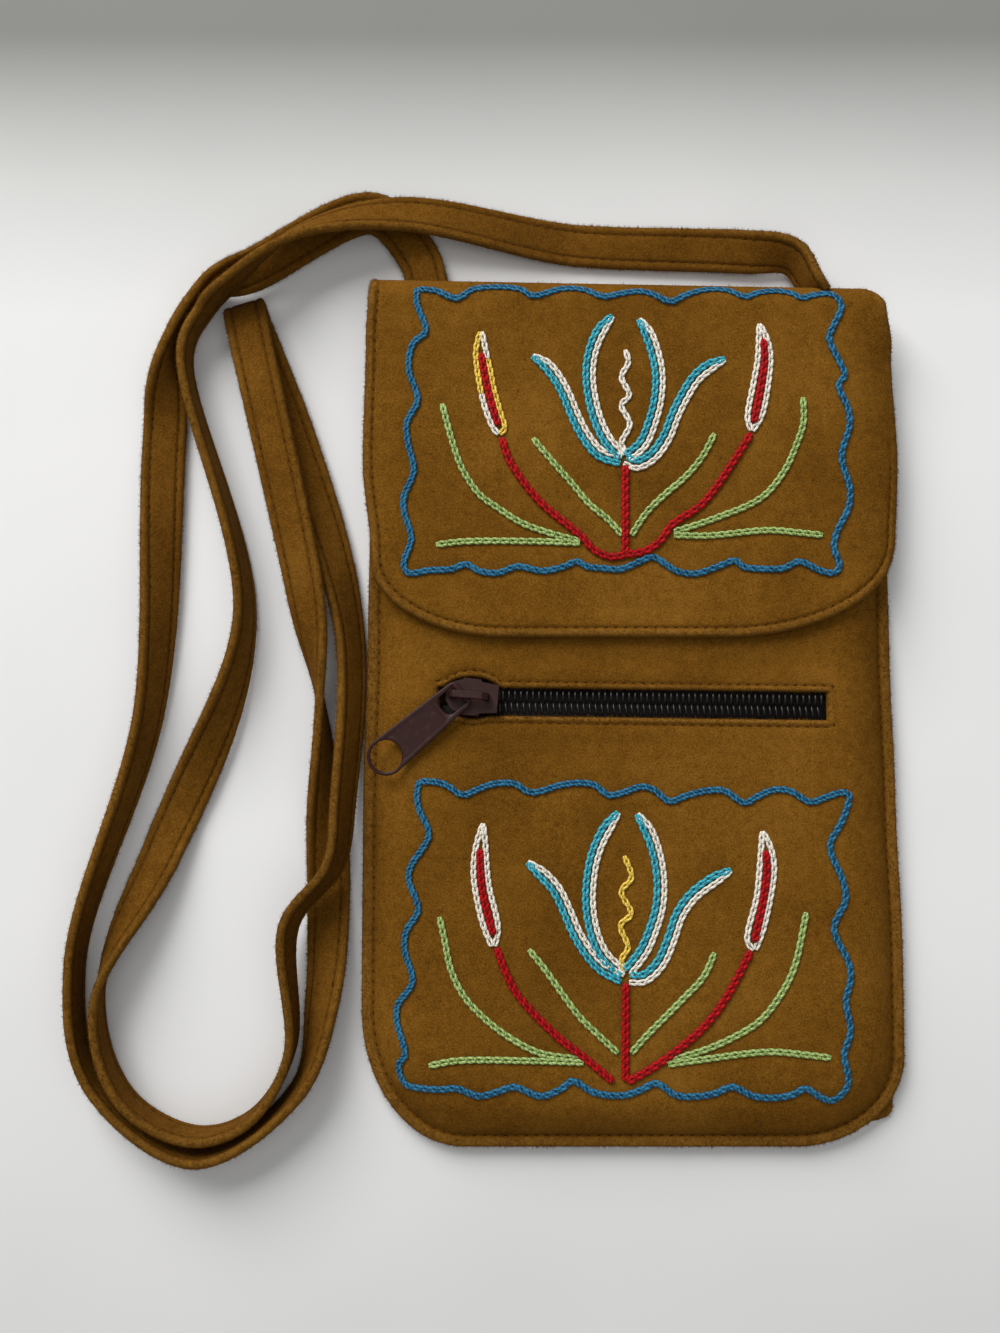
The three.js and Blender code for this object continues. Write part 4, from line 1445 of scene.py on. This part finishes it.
@dataclass
class FrontPanel:
    """The front: a flat sewn margin, a rounded rim, the flat front with its zip slot, and its embroidery."""

    outline: Outline = Outline(
        ((96, -63.4, 62.4), (14, -64.7, 63.7), (-22, -65.6, 64.6), (-60, -65.7, 65.7), (-106, -65.7, 65.7)),
        -105.7, Corner(25, 33), Corner(27, 22))
    zip_place: ZipPlace = field(default_factory=ZipPlace)
    mouth: float = 95.0
    # How far the sewn edge is taken to run on past the mouth
    past_mouth: float = 20.0
    thickness: float = 1.6
    seam_width: float = 3.0
    rim_width: float = 12.0
    rim_round: float = 2.4
    wave: float = 0.22
    wave_from: float = 31.0
    # Distances from edge and slot between which waves set in, and levels where the flap hides them
    calm_edge: tuple[float, float] = (4.0, 16.0)
    calm_slot: tuple[float, float] = (3.0, 14.0)
    covered: tuple[float, float] = (14.0, 26.0)
    hem: Hem = Hem(2.9, 0.14, 0.26)
    slot_hem: Hem = Hem(1.6, 0.14, 0.2, 0.7)
    rubbed_and_lit: float = 0.65
    hem_width: float = 6.0
    hem_columns: int = 20
    middle_columns: int = 120
    beside_slot: int = 11
    # Top and spacing of the lower rows, then height and spacing of the close ones along the hem
    low_rows: tuple[float, float, float, float] = (-14.0, 0.85, 9.0, 0.3)
    # How far the close rows reach below and above the slot, and how fast they spread
    slot_rows: tuple[float, float] = (10.6, 12.0)
    slot_spread: float = 1.4
    slot_count: int = 30
    across_count: int = 9
    high_count: int = 30
    row_gap: float = 0.4
    # Distances from the zip between which the sheet's grid leaves the slot's own
    near_slot: tuple[float, float] = (12.0, 34.0)
    bulge_reach: float = 16.0
    topstitch: Topstitch = Topstitch(1.75, 0.26, 0.3, 2.5, (1.2, 1.0))
    slot_topstitch: Topstitch = Topstitch(1.75, 0.26, 0.3, 2.3, (1.2, 1.0))
    seam_top: float = 30.0
    fibres: int = 30000
    embroidery: ChainEmbroidery = field(
        default_factory=lambda: ChainEmbroidery("pocket_embroidery", POCKET_SPRAY.lines()))

    def rim(self, x: Array, y: Array) -> Array:
        """Height of the plain front: a flat margin, a rounded rim, then flat.

        Args:
            x: Places across the front.
            y: Places up the front.

        Returns:
            Heights, in the shape of x.
        """
        outline = self.outline
        side_left, side_right = outline.sides(y)
        left, right = outline.edges(np.maximum(y, outline.bottom))
        bottom = (outline.bottom + corner_inset(x - side_left, outline.left.width, outline.left.rise)
                  + corner_inset(side_right - x, outline.right.width, outline.right.rise))
        across = np.clip(np.minimum(x - left, right - x), 0, None)
        up = np.clip(y - bottom, 0, None)
        edge = across * up / np.hypot(across, up).clip(1e-6)
        climb = np.clip((edge - self.seam_width) / self.rim_width, 0, 1)
        return FLANGE_TOP + (FRONT_TOP - FLANGE_TOP) * (1 - (1 - climb) ** self.rim_round)

    def distances(self, x: Array, y: Array) -> tuple[Array, Array]:
        """Distances from the sewn edge, which runs on past the open mouth, and from the slot."""
        return (edge_distance(x, y, self.outline.line(self.mouth + self.past_mouth)),
                edge_distance(x, y, self.zip_place.line()))

    def height(self, x: Array, y: Array) -> Array:
        """Height of the front's outer face.

        Args:
            x: Places across the front.
            y: Places up the front.

        Returns:
            Heights, in the shape of x.
        """
        edge, slot = self.distances(x, y)
        bare = 1 - smoothstep(y, *self.covered)
        calm = smoothstep(edge, *self.calm_edge) * smoothstep(slot, *self.calm_slot) * bare
        relief = self.hem.relief(edge) + self.slot_hem.relief(slot)
        waves = self.wave * calm * undulation(x + self.wave_from, y)
        return self.rim(x, y) + relief + waves - self.embroidery.dents(x, y)

    def levels(self) -> Array:
        """Rows of the sheet, close together along the hem and by the slot.

        Returns:
            Levels above the zip's middle, rising.
        """
        half = self.zip_place.half_height
        below, above = self.slot_rows
        low = self.outline.levels(*self.low_rows) - self.zip_place.y
        off = np.linspace(0, 1, self.slot_count)[1:] ** self.slot_spread
        across = np.linspace(-half, half, self.across_count)
        near = np.concatenate([-half - below * off[::-1], across, half + above * off])
        high = np.linspace(near[-1], self.mouth - self.zip_place.y, self.high_count)[1:]
        return np.concatenate([low[low < near[0] - self.row_gap], near, high])

    def columns(self, level: Array, by_slot: Array, first: int, last: int) -> Array:
        """Columns of the sheet, drawn to the slot's ends on the rows that are near it.

        Args:
            level: The rows' levels above the zip's middle.
            by_slot: How near the slot each row is, from 0 to 1.
            first: The column at the slot's left end.
            last: The column at its right end.

        Returns:
            Places across, by row and column.
        """
        half = self.zip_place.half_length
        left, right = (side[:, None] for side in self.outline.edges(level + self.zip_place.y))
        plain = hem_columns(left[:, 0], right[:, 0], self.hem_width, self.hem_columns, self.middle_columns)
        at_first, at_last = plain[:, first:first + 1], plain[:, last:last + 1]
        fitted = np.concatenate([
            left + (plain[:, :first] - left) * ((-half - left) / (at_first - left)),
            np.tile(-half + 2 * half * np.linspace(0, 1, last - first + 1), (len(level), 1)),
            right + (plain[:, last + 1:] - right) * ((half - right) / (at_last - right))], axis=1)
        return plain + (fitted - plain) * by_slot

    def sheet(self) -> BMesh:
        """Make the panel with its slot.

        Returns:
            A closed wall with rub and seam marks.
        """
        place = self.zip_place
        level = self.levels()
        from_zip = np.abs(level)[:, None]
        by_slot = 1 - smoothstep(from_zip, *self.near_slot)
        count = 2 * (self.hem_columns + 1) + self.middle_columns - 1
        first = self.hem_columns + self.beside_slot
        last = count - 1 - first
        x = self.columns(level, by_slot, first, last)
        beyond = from_zip - place.half_height
        outside = 1 - smoothstep(beyond, 0, self.bulge_reach)
        fade = np.where(beyond > 0, outside, 1 + beyond / place.half_height)
        bulge = np.where(level[:, None] > 0, place.rise(x, 1), -place.rise(x, -1))
        y = place.y + level[:, None] + math.tan(place.tilt) * x * by_slot + bulge * fade

        edge, slot = self.distances(x, y)
        column = np.arange(count)
        inside = (beyond < -1e-6) & (column > first) & (column < last)
        on_slot = np.isclose(beyond, 0) & (column >= first) & (column <= last)
        on_slot |= (beyond <= 1e-6) & np.isin(column, (first, last))
        slot[on_slot] = 0
        edge[0], edge[:, 0], edge[:, -1] = 0, 0, 0
        mouth = np.outer(self.mouth - place.y - level, np.ones(count)).clip(0)
        full = self.hem.fullness(np.minimum(edge, mouth)) * self.slot_hem.fullness(slot)
        top = self.height(x, y)
        under = self.rim(x, y) - self.thickness
        rim = under + RIM_SHARE * self.thickness
        outer = np.stack([x, y, rim + (top - rim) * full], axis=2)
        inner = np.stack([x, y, rim + (under - rim) * full], axis=2)
        # Painted marks: the edges pale for wear and as a painted highlight, and painted shade in the stitch
        # grooves
        rub = self.rubbed_and_lit * np.maximum(self.hem.rub(edge), self.slot_hem.rub(slot))
        seam = np.maximum(self.hem.seam(edge), self.slot_hem.seam(slot))
        gone = inside[:-1, :-1] | inside[1:, 1:] | inside[:-1, 1:] | inside[1:, :-1]
        return placed_grid(np.stack([outer, inner]), {"rub": np.stack([rub, rub * 0]),
                                                      "seam": np.stack([seam, seam * 0])}, ~gone)

    def build(self, suede: Material, thread: Material, finishes: dict[Floss, Material]) -> list[Object]:
        """Make and dress the panel, its seams and its embroidery.

        Args:
            suede: The panel's suede.
            thread: The sewing thread.
            finishes: The embroidery's threads.

        Returns:
            The pieces, the panel first.
        """
        piece = as_object("front_panel_suede", self.sheet(), suede)
        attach(piece, "bag")
        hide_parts("front_panel")
        edge = resampled(self.outline.line(self.seam_top), 1.0)
        edge = edge + self.hem.stitch * left_of(edge)
        slot = resampled(self.zip_place.line(self.slot_hem.stitch), 0.6)
        batches = []
        for line, topstitch in ((edge, self.topstitch), (slot, self.slot_topstitch)):
            stitch = topstitch.stamp()
            batches.append((stitch, sewn(line, topstitch.starts(line), stitch, self.height)))
        stitches = stamped("front_topstitch", batches, thread)
        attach(stitches, "bag")
        nap = Nap(self.fibres).build("front_nap", piece)
        threads = self.embroidery.build(self.height, finishes)
        return [piece, stitches, nap, *threads]


@dataclass
class ZipCoil:
    """The closed chain: two rows of coil loops that mesh along the middle."""

    zip_place: ZipPlace = field(default_factory=ZipPlace)
    start: float = -36.2
    end: float = 46.0
    bottom: float = 6.8
    height: float = 2.4
    half_width: float = 3.05
    pitch: float = 1.45
    loop: float = 0.4
    half_loop: float = 1.72
    lean: float = 0.06
    # A loop's round ends, then how deep, from where and how sharply they bend down
    blunt: float = 0.75
    drop: float = 0.75
    crest: float = 0.15
    bend: float = 1.8
    flat: float = 0.9

    def rib(self, ball: Array) -> tuple[Array, Array]:
        """Draw a ball out to a loop's upper half, bent down at both ends.

        Args:
            ball: Corners of the ball.

        Returns:
            Corners of the loop, and its twist at each.
        """
        run = np.sign(ball[:, 1]) * np.abs(ball[:, 1]) ** self.blunt
        drop = self.drop * np.abs(run - self.crest) ** self.bend
        height = ball[:, 2] * self.loop * self.flat + self.height / 2 - self.loop - drop
        return np.column_stack([ball[:, 0] * self.loop, run * self.half_loop, height]), run

    def build(self, nylon: Material) -> list[Object]:
        """Make and dress the coil.

        Args:
            nylon: The coil's nylon.

        Returns:
            The coil.
        """
        bm = bmesh.new()
        bmesh.ops.create_uvsphere(bm, u_segments=8, v_segments=8, radius=1,
                                  matrix=Matrix.Rotation(math.pi / 2, 4, "X"))
        stamp = read_stamp(bm, self.rib)
        place = np.array(self.zip_place.matrix())
        batches = []
        for side, late in ((1, 0.0), (-1, 0.5)):
            middles = np.arange(self.start + self.loop + late * self.pitch, self.end - self.loop, self.pitch)
            shape = stamp.places * (1, side, 1)
            shape[:, 0] += self.lean * side * shape[:, 1]
            shape[:, 1] += side * (self.half_width - self.half_loop)
            shape[:, 2] += self.bottom + self.height / 2
            copies = np.repeat(shape[None], len(middles), axis=0)
            copies[..., 0] += middles[:, None]
            batches.append((stamp.turned(side), copies @ place[:3, :3].T + place[:3, 3]))
        piece = stamped("zip_coil_loops", batches, nylon)
        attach(piece, "bag")
        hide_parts("zip_chain")
        return [piece]


@dataclass
class ZipHardware:
    """The woven tape, the painted slider and its pull tab, taken from their solids."""

    bridge: float = 11.4
    # Edges sharper than this many degrees are rounded by this many millimetres
    soft_bridge: tuple[float, float] = (28.0, 0.55)
    soft_body: tuple[float, float] = (40.0, 0.26)
    soft_pull: tuple[float, float] = (30.0, 0.12)
    pull_place: tuple[float, float, float] = (-41.3, 3.4, 11.8)
    swivel: float = math.radians(40)
    pitch: float = math.radians(3.8)
    panel_start: float = 7.3
    panel_corner: float = 0.5
    panel_slope: float = 0.22
    # Middle and radius of the curve at the ring, then half the panel's width at the eye and its growth
    ring: tuple[float, float] = (23.7, 4.85)
    taper: tuple[float, float] = (2.75, 0.047)
    half_thickness: float = 0.6
    sunk: float = 0.26
    ring_turn: float = 48.0
    weld: float = 0.01
    flat_angle: float = 2.0
    flat_within: float = 0.005

    def merged(self, source: str) -> BMesh:
        """A copy of a solid with its flat sides whole.

        Args:
            source: The solid's name.

        Returns:
            The merged copy.
        """
        bm = bmesh.new()
        bm.from_mesh(bpy.data.objects[source].data)
        bmesh.ops.remove_doubles(bm, verts=bm.verts, dist=self.weld * MM)
        bmesh.ops.dissolve_limit(bm, angle_limit=math.radians(self.flat_angle), verts=bm.verts,
                                 edges=bm.edges)
        return bm

    def soften(self, bm: BMesh, least: float, reach: float,
               within: Callable[[bmesh.types.BMEdge], bool]) -> None:
        """Round the edges that are sharper than an angle.

        Args:
            bm: The mesh.
            least: The angle, in degrees.
            reach: How far the rounding reaches.
            within: Tells which edges are meant.
        """
        folds = [edge for edge in bm.edges if edge.is_manifold and within(edge)]
        sharp = [edge for edge in folds if edge.calc_face_angle(0) > math.radians(least)]
        bmesh.ops.bevel(bm, geom=sharp, offset=reach * MM, offset_type="OFFSET", affect="EDGES", segments=3,
                        profile=0.5, material=-1, clamp_overlap=True)

    def panel(self) -> Points:
        """The pull's sunk panel: tapering sides, a straight end by the eye and an end that follows the ring.

        Returns:
            Its corners in turn.
        """
        width, slope = self.taper
        middle, radius = self.ring
        turns = np.radians(np.linspace(self.ring_turn, -self.ring_turn, 13))
        end = [(middle - radius * math.cos(turn), radius * math.sin(turn)) for turn in turns]
        end = [(x, max(min(y, width + slope * x), -width - slope * x)) for x, y in end]
        near, cut = width + slope * self.panel_start, self.panel_corner
        start = [(self.panel_start + cut, -near), (self.panel_start, cut - near),
                 (self.panel_start, near - cut), (self.panel_start + cut, near)]
        return (end + start)[::-1]

    def recess(self, bm: BMesh, side: int) -> None:
        """Sink the panel into one flat side of the pull.

        Args:
            bm: The pull's mesh, lying along its own x axis.
            side: 1 for the upper side, -1 for the lower one.
        """
        level, within = side * self.half_thickness * MM, self.flat_within * MM
        flat = [face for face in bm.faces if all(abs(vert.co.z - level) < within for vert in face.verts)]
        bmesh.ops.delete(bm, geom=flat, context="FACES")
        border = [edge for edge in bm.edges if edge.is_boundary]
        corners = [bm.verts.new((x * MM, y * MM, level)) for x, y in self.panel()[::side]]
        border += [bm.edges.new(pair) for pair in zip(corners, corners[1:] + corners[:1])]
        bmesh.ops.triangle_fill(bm, edges=border, use_beauty=True, normal=(0, 0, side))
        sunk = bm.faces.new(corners)
        sunk.normal_update()
        bmesh.ops.inset_region(bm, faces=[sunk], thickness=self.panel_slope * MM, depth=-self.sunk * MM,
                               use_even_offset=True, use_boundary=True)

    def slider(self, paint: Material) -> Object:
        """Make and dress the slider, whose bridge is rounder than its body.

        Args:
            paint: The painted metal.

        Returns:
            The slider.
        """
        bm = self.merged("zip_slider")
        level = self.bridge * MM
        self.soften(bm, *self.soft_bridge, lambda edge: min(vert.co.z for vert in edge.verts) > level)
        self.soften(bm, *self.soft_body, lambda edge: max(vert.co.z for vert in edge.verts) < level)
        slider = as_object("zip_slider_body", bm, paint)
        slider.modifiers.new("flat_faces", "WEIGHTED_NORMAL")
        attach(slider, "bag")
        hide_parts("zip_slider")
        return slider

    def pull(self, paint: Material) -> Object:
        """Make and dress the pull, which is shaped lying along its own x axis.

        Args:
            paint: The painted metal.

        Returns:
            The pull.
        """
        bm = self.merged("pull_tab")
        turn = Matrix.Rotation(math.pi + self.swivel, 4, "Z") @ Matrix.Rotation(self.pitch, 4, "Y")
        to_bag = Matrix.Translation(Vector(self.pull_place) * MM) @ turn
        bmesh.ops.transform(bm, matrix=to_bag.inverted(), verts=bm.verts)
        self.soften(bm, *self.soft_pull, lambda edge: True)
        for side in (1, -1):
            self.recess(bm, side)
        bmesh.ops.recalc_face_normals(bm, faces=bm.faces)
        bmesh.ops.transform(bm, matrix=to_bag, verts=bm.verts)
        pull = as_object("zip_pull", bm, paint)
        pull.modifiers.new("flat_faces", "WEIGHTED_NORMAL")
        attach(pull, "pull")
        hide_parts("pull_tab")
        return pull

    def build(self, paint: Material, weave: Material) -> list[Object]:
        """Make and dress the tape, the slider and the pull.

        Args:
            paint: The painted metal.
            weave: The tape's weave.

        Returns:
            The tape, the slider and the pull.
        """
        tape = as_object("zip_tape_weave", self.merged("zip_tape"), weave)
        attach(tape, "bag")
        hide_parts("zip_tape")
        return [tape, self.slider(paint), self.pull(paint)]


# The strap's route in metres: across, up, lift above the surface, then the band's roll in degrees
STRAP_ROUTE: tuple[tuple[float, float, float, float], ...] = (
    (-0.0505, 0.1065, 0.0003, -4), (-0.0525, 0.113, 0.0003, -6), (-0.064, 0.1245, 0.0003, -3),
    (-0.0945, 0.109, 0.0003, -22), (-0.1055, 0.1035, 0.0003, -94), (-0.113, 0.093, 0.0003, -102),
    (-0.1155, 0.0675, 0.0003, -8), (-0.1175, -0.0005, 0.0003, -66), (-0.1345, -0.062, 0.0003, -86),
    (-0.1295, -0.09, 0.0003, -86), (-0.1045, -0.1075, 0.0003, -84), (-0.0805, -0.0915, 0.0003, -76),
    (-0.075, -0.0705, 0.0003, -36), (-0.074, -0.0445, 0.0003, -2), (-0.076, 0.0015, 0.0006, 94),
    (-0.079, 0.026, 0.0056, 154), (-0.0945, 0.094, 0.005, 180), (-0.096, 0.1, 0.00255, 180),
    (-0.0945, 0.0955, 0.0007, 180), (-0.0825, 0.065, 0.0003, 174), (-0.069, 0.019, 0.0003, 121),
    (-0.07, -0.0225, 0.0019, 114), (-0.072, -0.038, 0.004, 108), (-0.0825, -0.052, 0.0032, 104),
    (-0.0825, -0.0825, 0.0003, 88), (-0.0915, -0.098, 0.0003, 86), (-0.105, -0.1025, 0.0003, 84),
    (-0.122, -0.0935, 0.0003, 84), (-0.129, -0.071, 0.0003, 92), (-0.114, -0.0335, 0.0003, 170),
    (-0.0945, 0.021, 0.0005, 256), (-0.11, 0.088, 0.0006, 269), (-0.105, 0.0985, 0.0012, 271),
    (-0.097, 0.1045, 0.0064, 270), (-0.0815, 0.117, 0.0042, 300), (-0.057, 0.1225, 0.0034, 338),
    (-0.0145, 0.1165, 0.0003, 360), (0.029, 0.114, 0.0003, 380), (0.0405, 0.112, 0.0003, 422),
    (0.045, 0.105, 0.0006, 434),
)
# The row of the route where the band is folded back on itself, so that its other edge leads
STRAP_FOLD = 17


@dataclass
class Strap:
    """The long flat strap: two layers of suede sewn along both edges, laid, leaning or standing on edge."""

    width: float = 10.5
    thickness: float = 2.3
    spacing: float = 1.8
    steps: int = 24
    eased: int = 14
    seam: float = 3.15
    seam_top: float = 0.86
    seam_shade: float = 0.7
    seam_width: float = 0.4
    # How pale wear and a painted highlight make the edges, and the distances from the middle between which
    # that sets in
    rub: float = 0.6
    rubbed_and_lit: tuple[float, float] = (4.2, 5.0)
    tucked: float = 4.0
    # A quarter of the section from its middle to its edge: out, then up
    half_section: tuple[tuple[float, float], ...] = (
        (0, 1.02), (1.5, 1.02), (2.4, 1.0), (2.85, 0.92), (3.02, 0.8), (3.15, 0.76), (3.28, 0.8), (3.5, 0.95),
        (4.0, 1.08), (4.5, 1.06), (4.9, 0.86), (5.15, 0.48), (5.25, 0))
    topstitch: Topstitch = Topstitch(1.7, 0.24, 0.2, 2.5, (2.0, 2.0))
    wander: float = 0.1
    deepest: float = 0.16
    seed: int = 7
    fibres: int = 40000

    def course(self) -> tuple[Array, Array, Array]:
        """The band's middle, edge direction and face direction along its route.

        Returns:
            Places in mm, and two unit directions at each.
        """
        rows, up = np.array(STRAP_ROUTE), np.array((0, 0, 1.0))
        line = spline(rows[:, :3] / MM, self.steps)
        heading = np.gradient(line, axis=0)[::self.steps]
        edges, side = [], 1.0
        for i, (slope, roll) in enumerate(zip(heading, np.radians(rows[:, 3]))):
            if i == STRAP_FOLD:
                edges.append(edges[-1])
                side = -side
                continue
            flat = unit(slope * (1, 1, 0))
            edges.append(side * (math.cos(roll) * np.cross(up, flat) + math.sin(roll) * up))
        edge = along(np.arange(len(rows)), np.array(edges), np.arange(len(line)) / self.steps)

        run = lengths(line)
        even = np.linspace(0, run[-1], round(run[-1] / self.spacing) + 1)
        line, edge = along(run, line, even), along(run, edge, even)
        for _ in range(self.eased):
            edge[1:-1] = (edge[:-2] + 2 * edge[1:-1] + edge[2:]) / 4
        edge = unit(edge)
        line[:, 2] += (np.abs(edge[:, 2]) * self.width + np.sqrt(1 - edge[:, 2] ** 2) * self.thickness) / 2
        slope = unit(np.gradient(line, axis=0))
        edge = unit(edge - (edge * slope).sum(axis=1)[:, None] * slope)
        return line, edge, np.cross(slope, edge)

    def sewn_in(self, values: Array, further: float) -> Array:
        """Carry the course on at both ends, where the band goes in under the fold.

        Args:
            values: Places or directions along the course.
            further: How far on, which is 0 for directions.

        Returns:
            The same with a row more at each end.
        """
        first, last = further * unit(np.stack([values[0] - values[1], values[-1] - values[-2]]))
        return np.vstack([values[0] + first, values, values[-1] + last])

    def section(self) -> Array:
        """The band's section.

        Returns:
            A closed ring of places along its edge and face directions.
        """
        quarter = np.array(self.half_section)
        upper = np.vstack([quarter[::-1] * (-1, 1), quarter[1:]])
        return np.vstack([upper, upper[::-1][1:] * (1, -1)])

    def seams(self, line: Array, edge: Array, face: Array) -> list[tuple[Stamp, Array]]:
        """Stitches along both edges of both faces, each a little astray.

        Args:
            line: The band's middle.
            edge: Its edge direction at each place.
            face: Its face direction at each place.

        Returns:
            Stamps with the places of each copy's corners.
        """
        stitch = self.topstitch.stamp()
        starts = self.topstitch.starts(line)
        run = starts[:, None] + stitch.places[:, 0]
        at = along(lengths(line), np.column_stack([line, edge, face]), run)
        chance = np.random.default_rng(self.seed)
        batches = []
        for side in (1, -1):
            for up in (1, -1):
                strayed = chance.normal(0, self.wander, (len(starts), 1, 1))
                sunk = chance.uniform(0, self.deepest, (len(starts), 1, 1))
                out = side * self.seam + stitch.places[:, 1:2] + strayed
                proud = up * (self.seam_top - sunk + stitch.places[:, 2:])
                batches.append((stitch.turned(up), at[..., :3] + out * at[..., 3:6] + proud * at[..., 6:]))
        return batches

    def build(self, suede: Material, thread: Material) -> list[Object]:
        """Make and dress the strap and its topstitching.

        Args:
            suede: The strap's suede.
            thread: The sewing thread.

        Returns:
            The strap, its stitches and its nap.
        """
        line, edge, face = (self.sewn_in(*pair) for pair in zip(self.course(), (self.tucked, 0.0, 0.0)))
        ring = self.section()
        places = line[:, None] + ring[:, :1] * edge[:, None] + ring[:, 1:] * face[:, None]
        across = np.tile(np.abs(ring[:, 0]), (1, len(line), 1))
        # Painted marks: the edges pale for wear and as a painted highlight, and painted shade in the stitch
        # grooves
        bm = placed_grid(places[None], {
            "rub": self.rub * smoothstep(across, *self.rubbed_and_lit),
            "seam": self.seam_shade * bell(across, self.seam, self.seam_width)})
        bmesh.ops.holes_fill(bm, edges=[rim for rim in bm.edges if rim.is_boundary], sides=0)
        bmesh.ops.recalc_face_normals(bm, faces=bm.faces)
        strap = as_object("strap_suede", bm, suede)
        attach(strap, "bag")
        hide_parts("strap")

        stitches = stamped("strap_topstitch", self.seams(line, edge, face), thread)
        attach(stitches, "bag")
        nap = Nap(self.fibres).build("strap_nap", strap)
        return [strap, stitches, nap]


@dataclass(frozen=True)
class SoftLight:
    """A square area light that faces the bag, with its place and size in metres and its power in watts."""

    name: str
    place: tuple[float, float, float]
    size: float
    power: float

    def build(self) -> None:
        """Put the light into the scene."""
        light = bpy.data.objects.new(self.name, bpy.data.lights.new(self.name, "AREA"))
        light.data.energy, light.data.size = self.power, self.size
        light.location = self.place
        light.rotation_euler = (-Vector(self.place)).to_track_quat("-Z", "Y").to_euler()
        bpy.context.scene.collection.objects.link(light)


@dataclass
class Studio:
    """Pale paper floor, a soft window-like light from the upper left, and the camera above the bag."""

    camera_place: tuple[float, float, float] = (-32.15, -10.35, 338.38)
    camera_tilt: float = 3.5
    lens: float = 36.9
    sensor: float = 36.0
    nearest: float = 0.01
    floor_size: float = 1.5
    floor_level: float = -0.0001
    air: str = "#eef0f2"
    air_strength: float = 0.2
    lights: tuple[SoftLight, ...] = (SoftLight("window", (-0.85, 1.4, 1.15), 1.35, 50.0),
                                     SoftLight("overhead", (0.15, -0.22, 1.25), 1.7, 5.9))

    def build(self) -> None:
        """Make the camera, the floor and the lights."""
        scene = bpy.context.scene
        camera = bpy.data.objects.new("camera", bpy.data.cameras.new("camera"))
        camera.location = Vector(self.camera_place) * MM
        camera.rotation_euler = (math.radians(self.camera_tilt), 0, 0)
        camera.data.lens, camera.data.sensor_width = self.lens, self.sensor
        camera.data.clip_start = self.nearest
        scene.collection.objects.link(camera)
        scene.camera = camera
        scene.view_settings.view_transform = "Standard"

        bm = bmesh.new()
        bmesh.ops.create_grid(bm, x_segments=8, y_segments=8, size=self.floor_size,
                              matrix=Matrix.Translation((0, 0, self.floor_level)))
        as_object("floor", bm, StudioPaper().make())

        for light in self.lights:
            light.build()
        world = bpy.data.worlds.new("studio")
        world.use_nodes = True
        air = world.node_tree.nodes["Background"].inputs
        air["Color"].default_value = linear(self.air)
        air["Strength"].default_value = self.air_strength
        scene.world = world


def main() -> None:
    """Build every sub-assembly, dress it and report its pieces."""
    logging.basicConfig(level=logging.INFO, format="%(name)s: %(message)s")
    Studio().build()
    suede = Suede("brushed_suede", "#53340a", "#6b4611", "#80571c", "#8a632c").make()
    strap_suede = Suede("strap_suede", "#4e310a", "#654110", "#79521b", "#846029").make()
    thread = SpunThread("sewing_thread", "#331d06", "#543610", 0.9, 0.0, 0.03).make()
    finishes = {floss: SpunThread(f"floss_{floss.name.lower()}", *floss.value).make() for floss in Floss}
    pieces = Strap().build(strap_suede, thread)
    pieces += BackAndFlap().build(suede, thread, finishes)
    pieces += FrontPanel().build(suede, thread, finishes)
    pieces += ZipCoil().build(NYLON_COIL.make())
    pieces += ZipHardware().build(PAINTED_ZINC.make(), WovenTape().make())
    for piece in pieces:
        LOG.info("%s: %d faces", piece.name, len(piece.data.polygons))


if __name__ == "__main__":
    main()
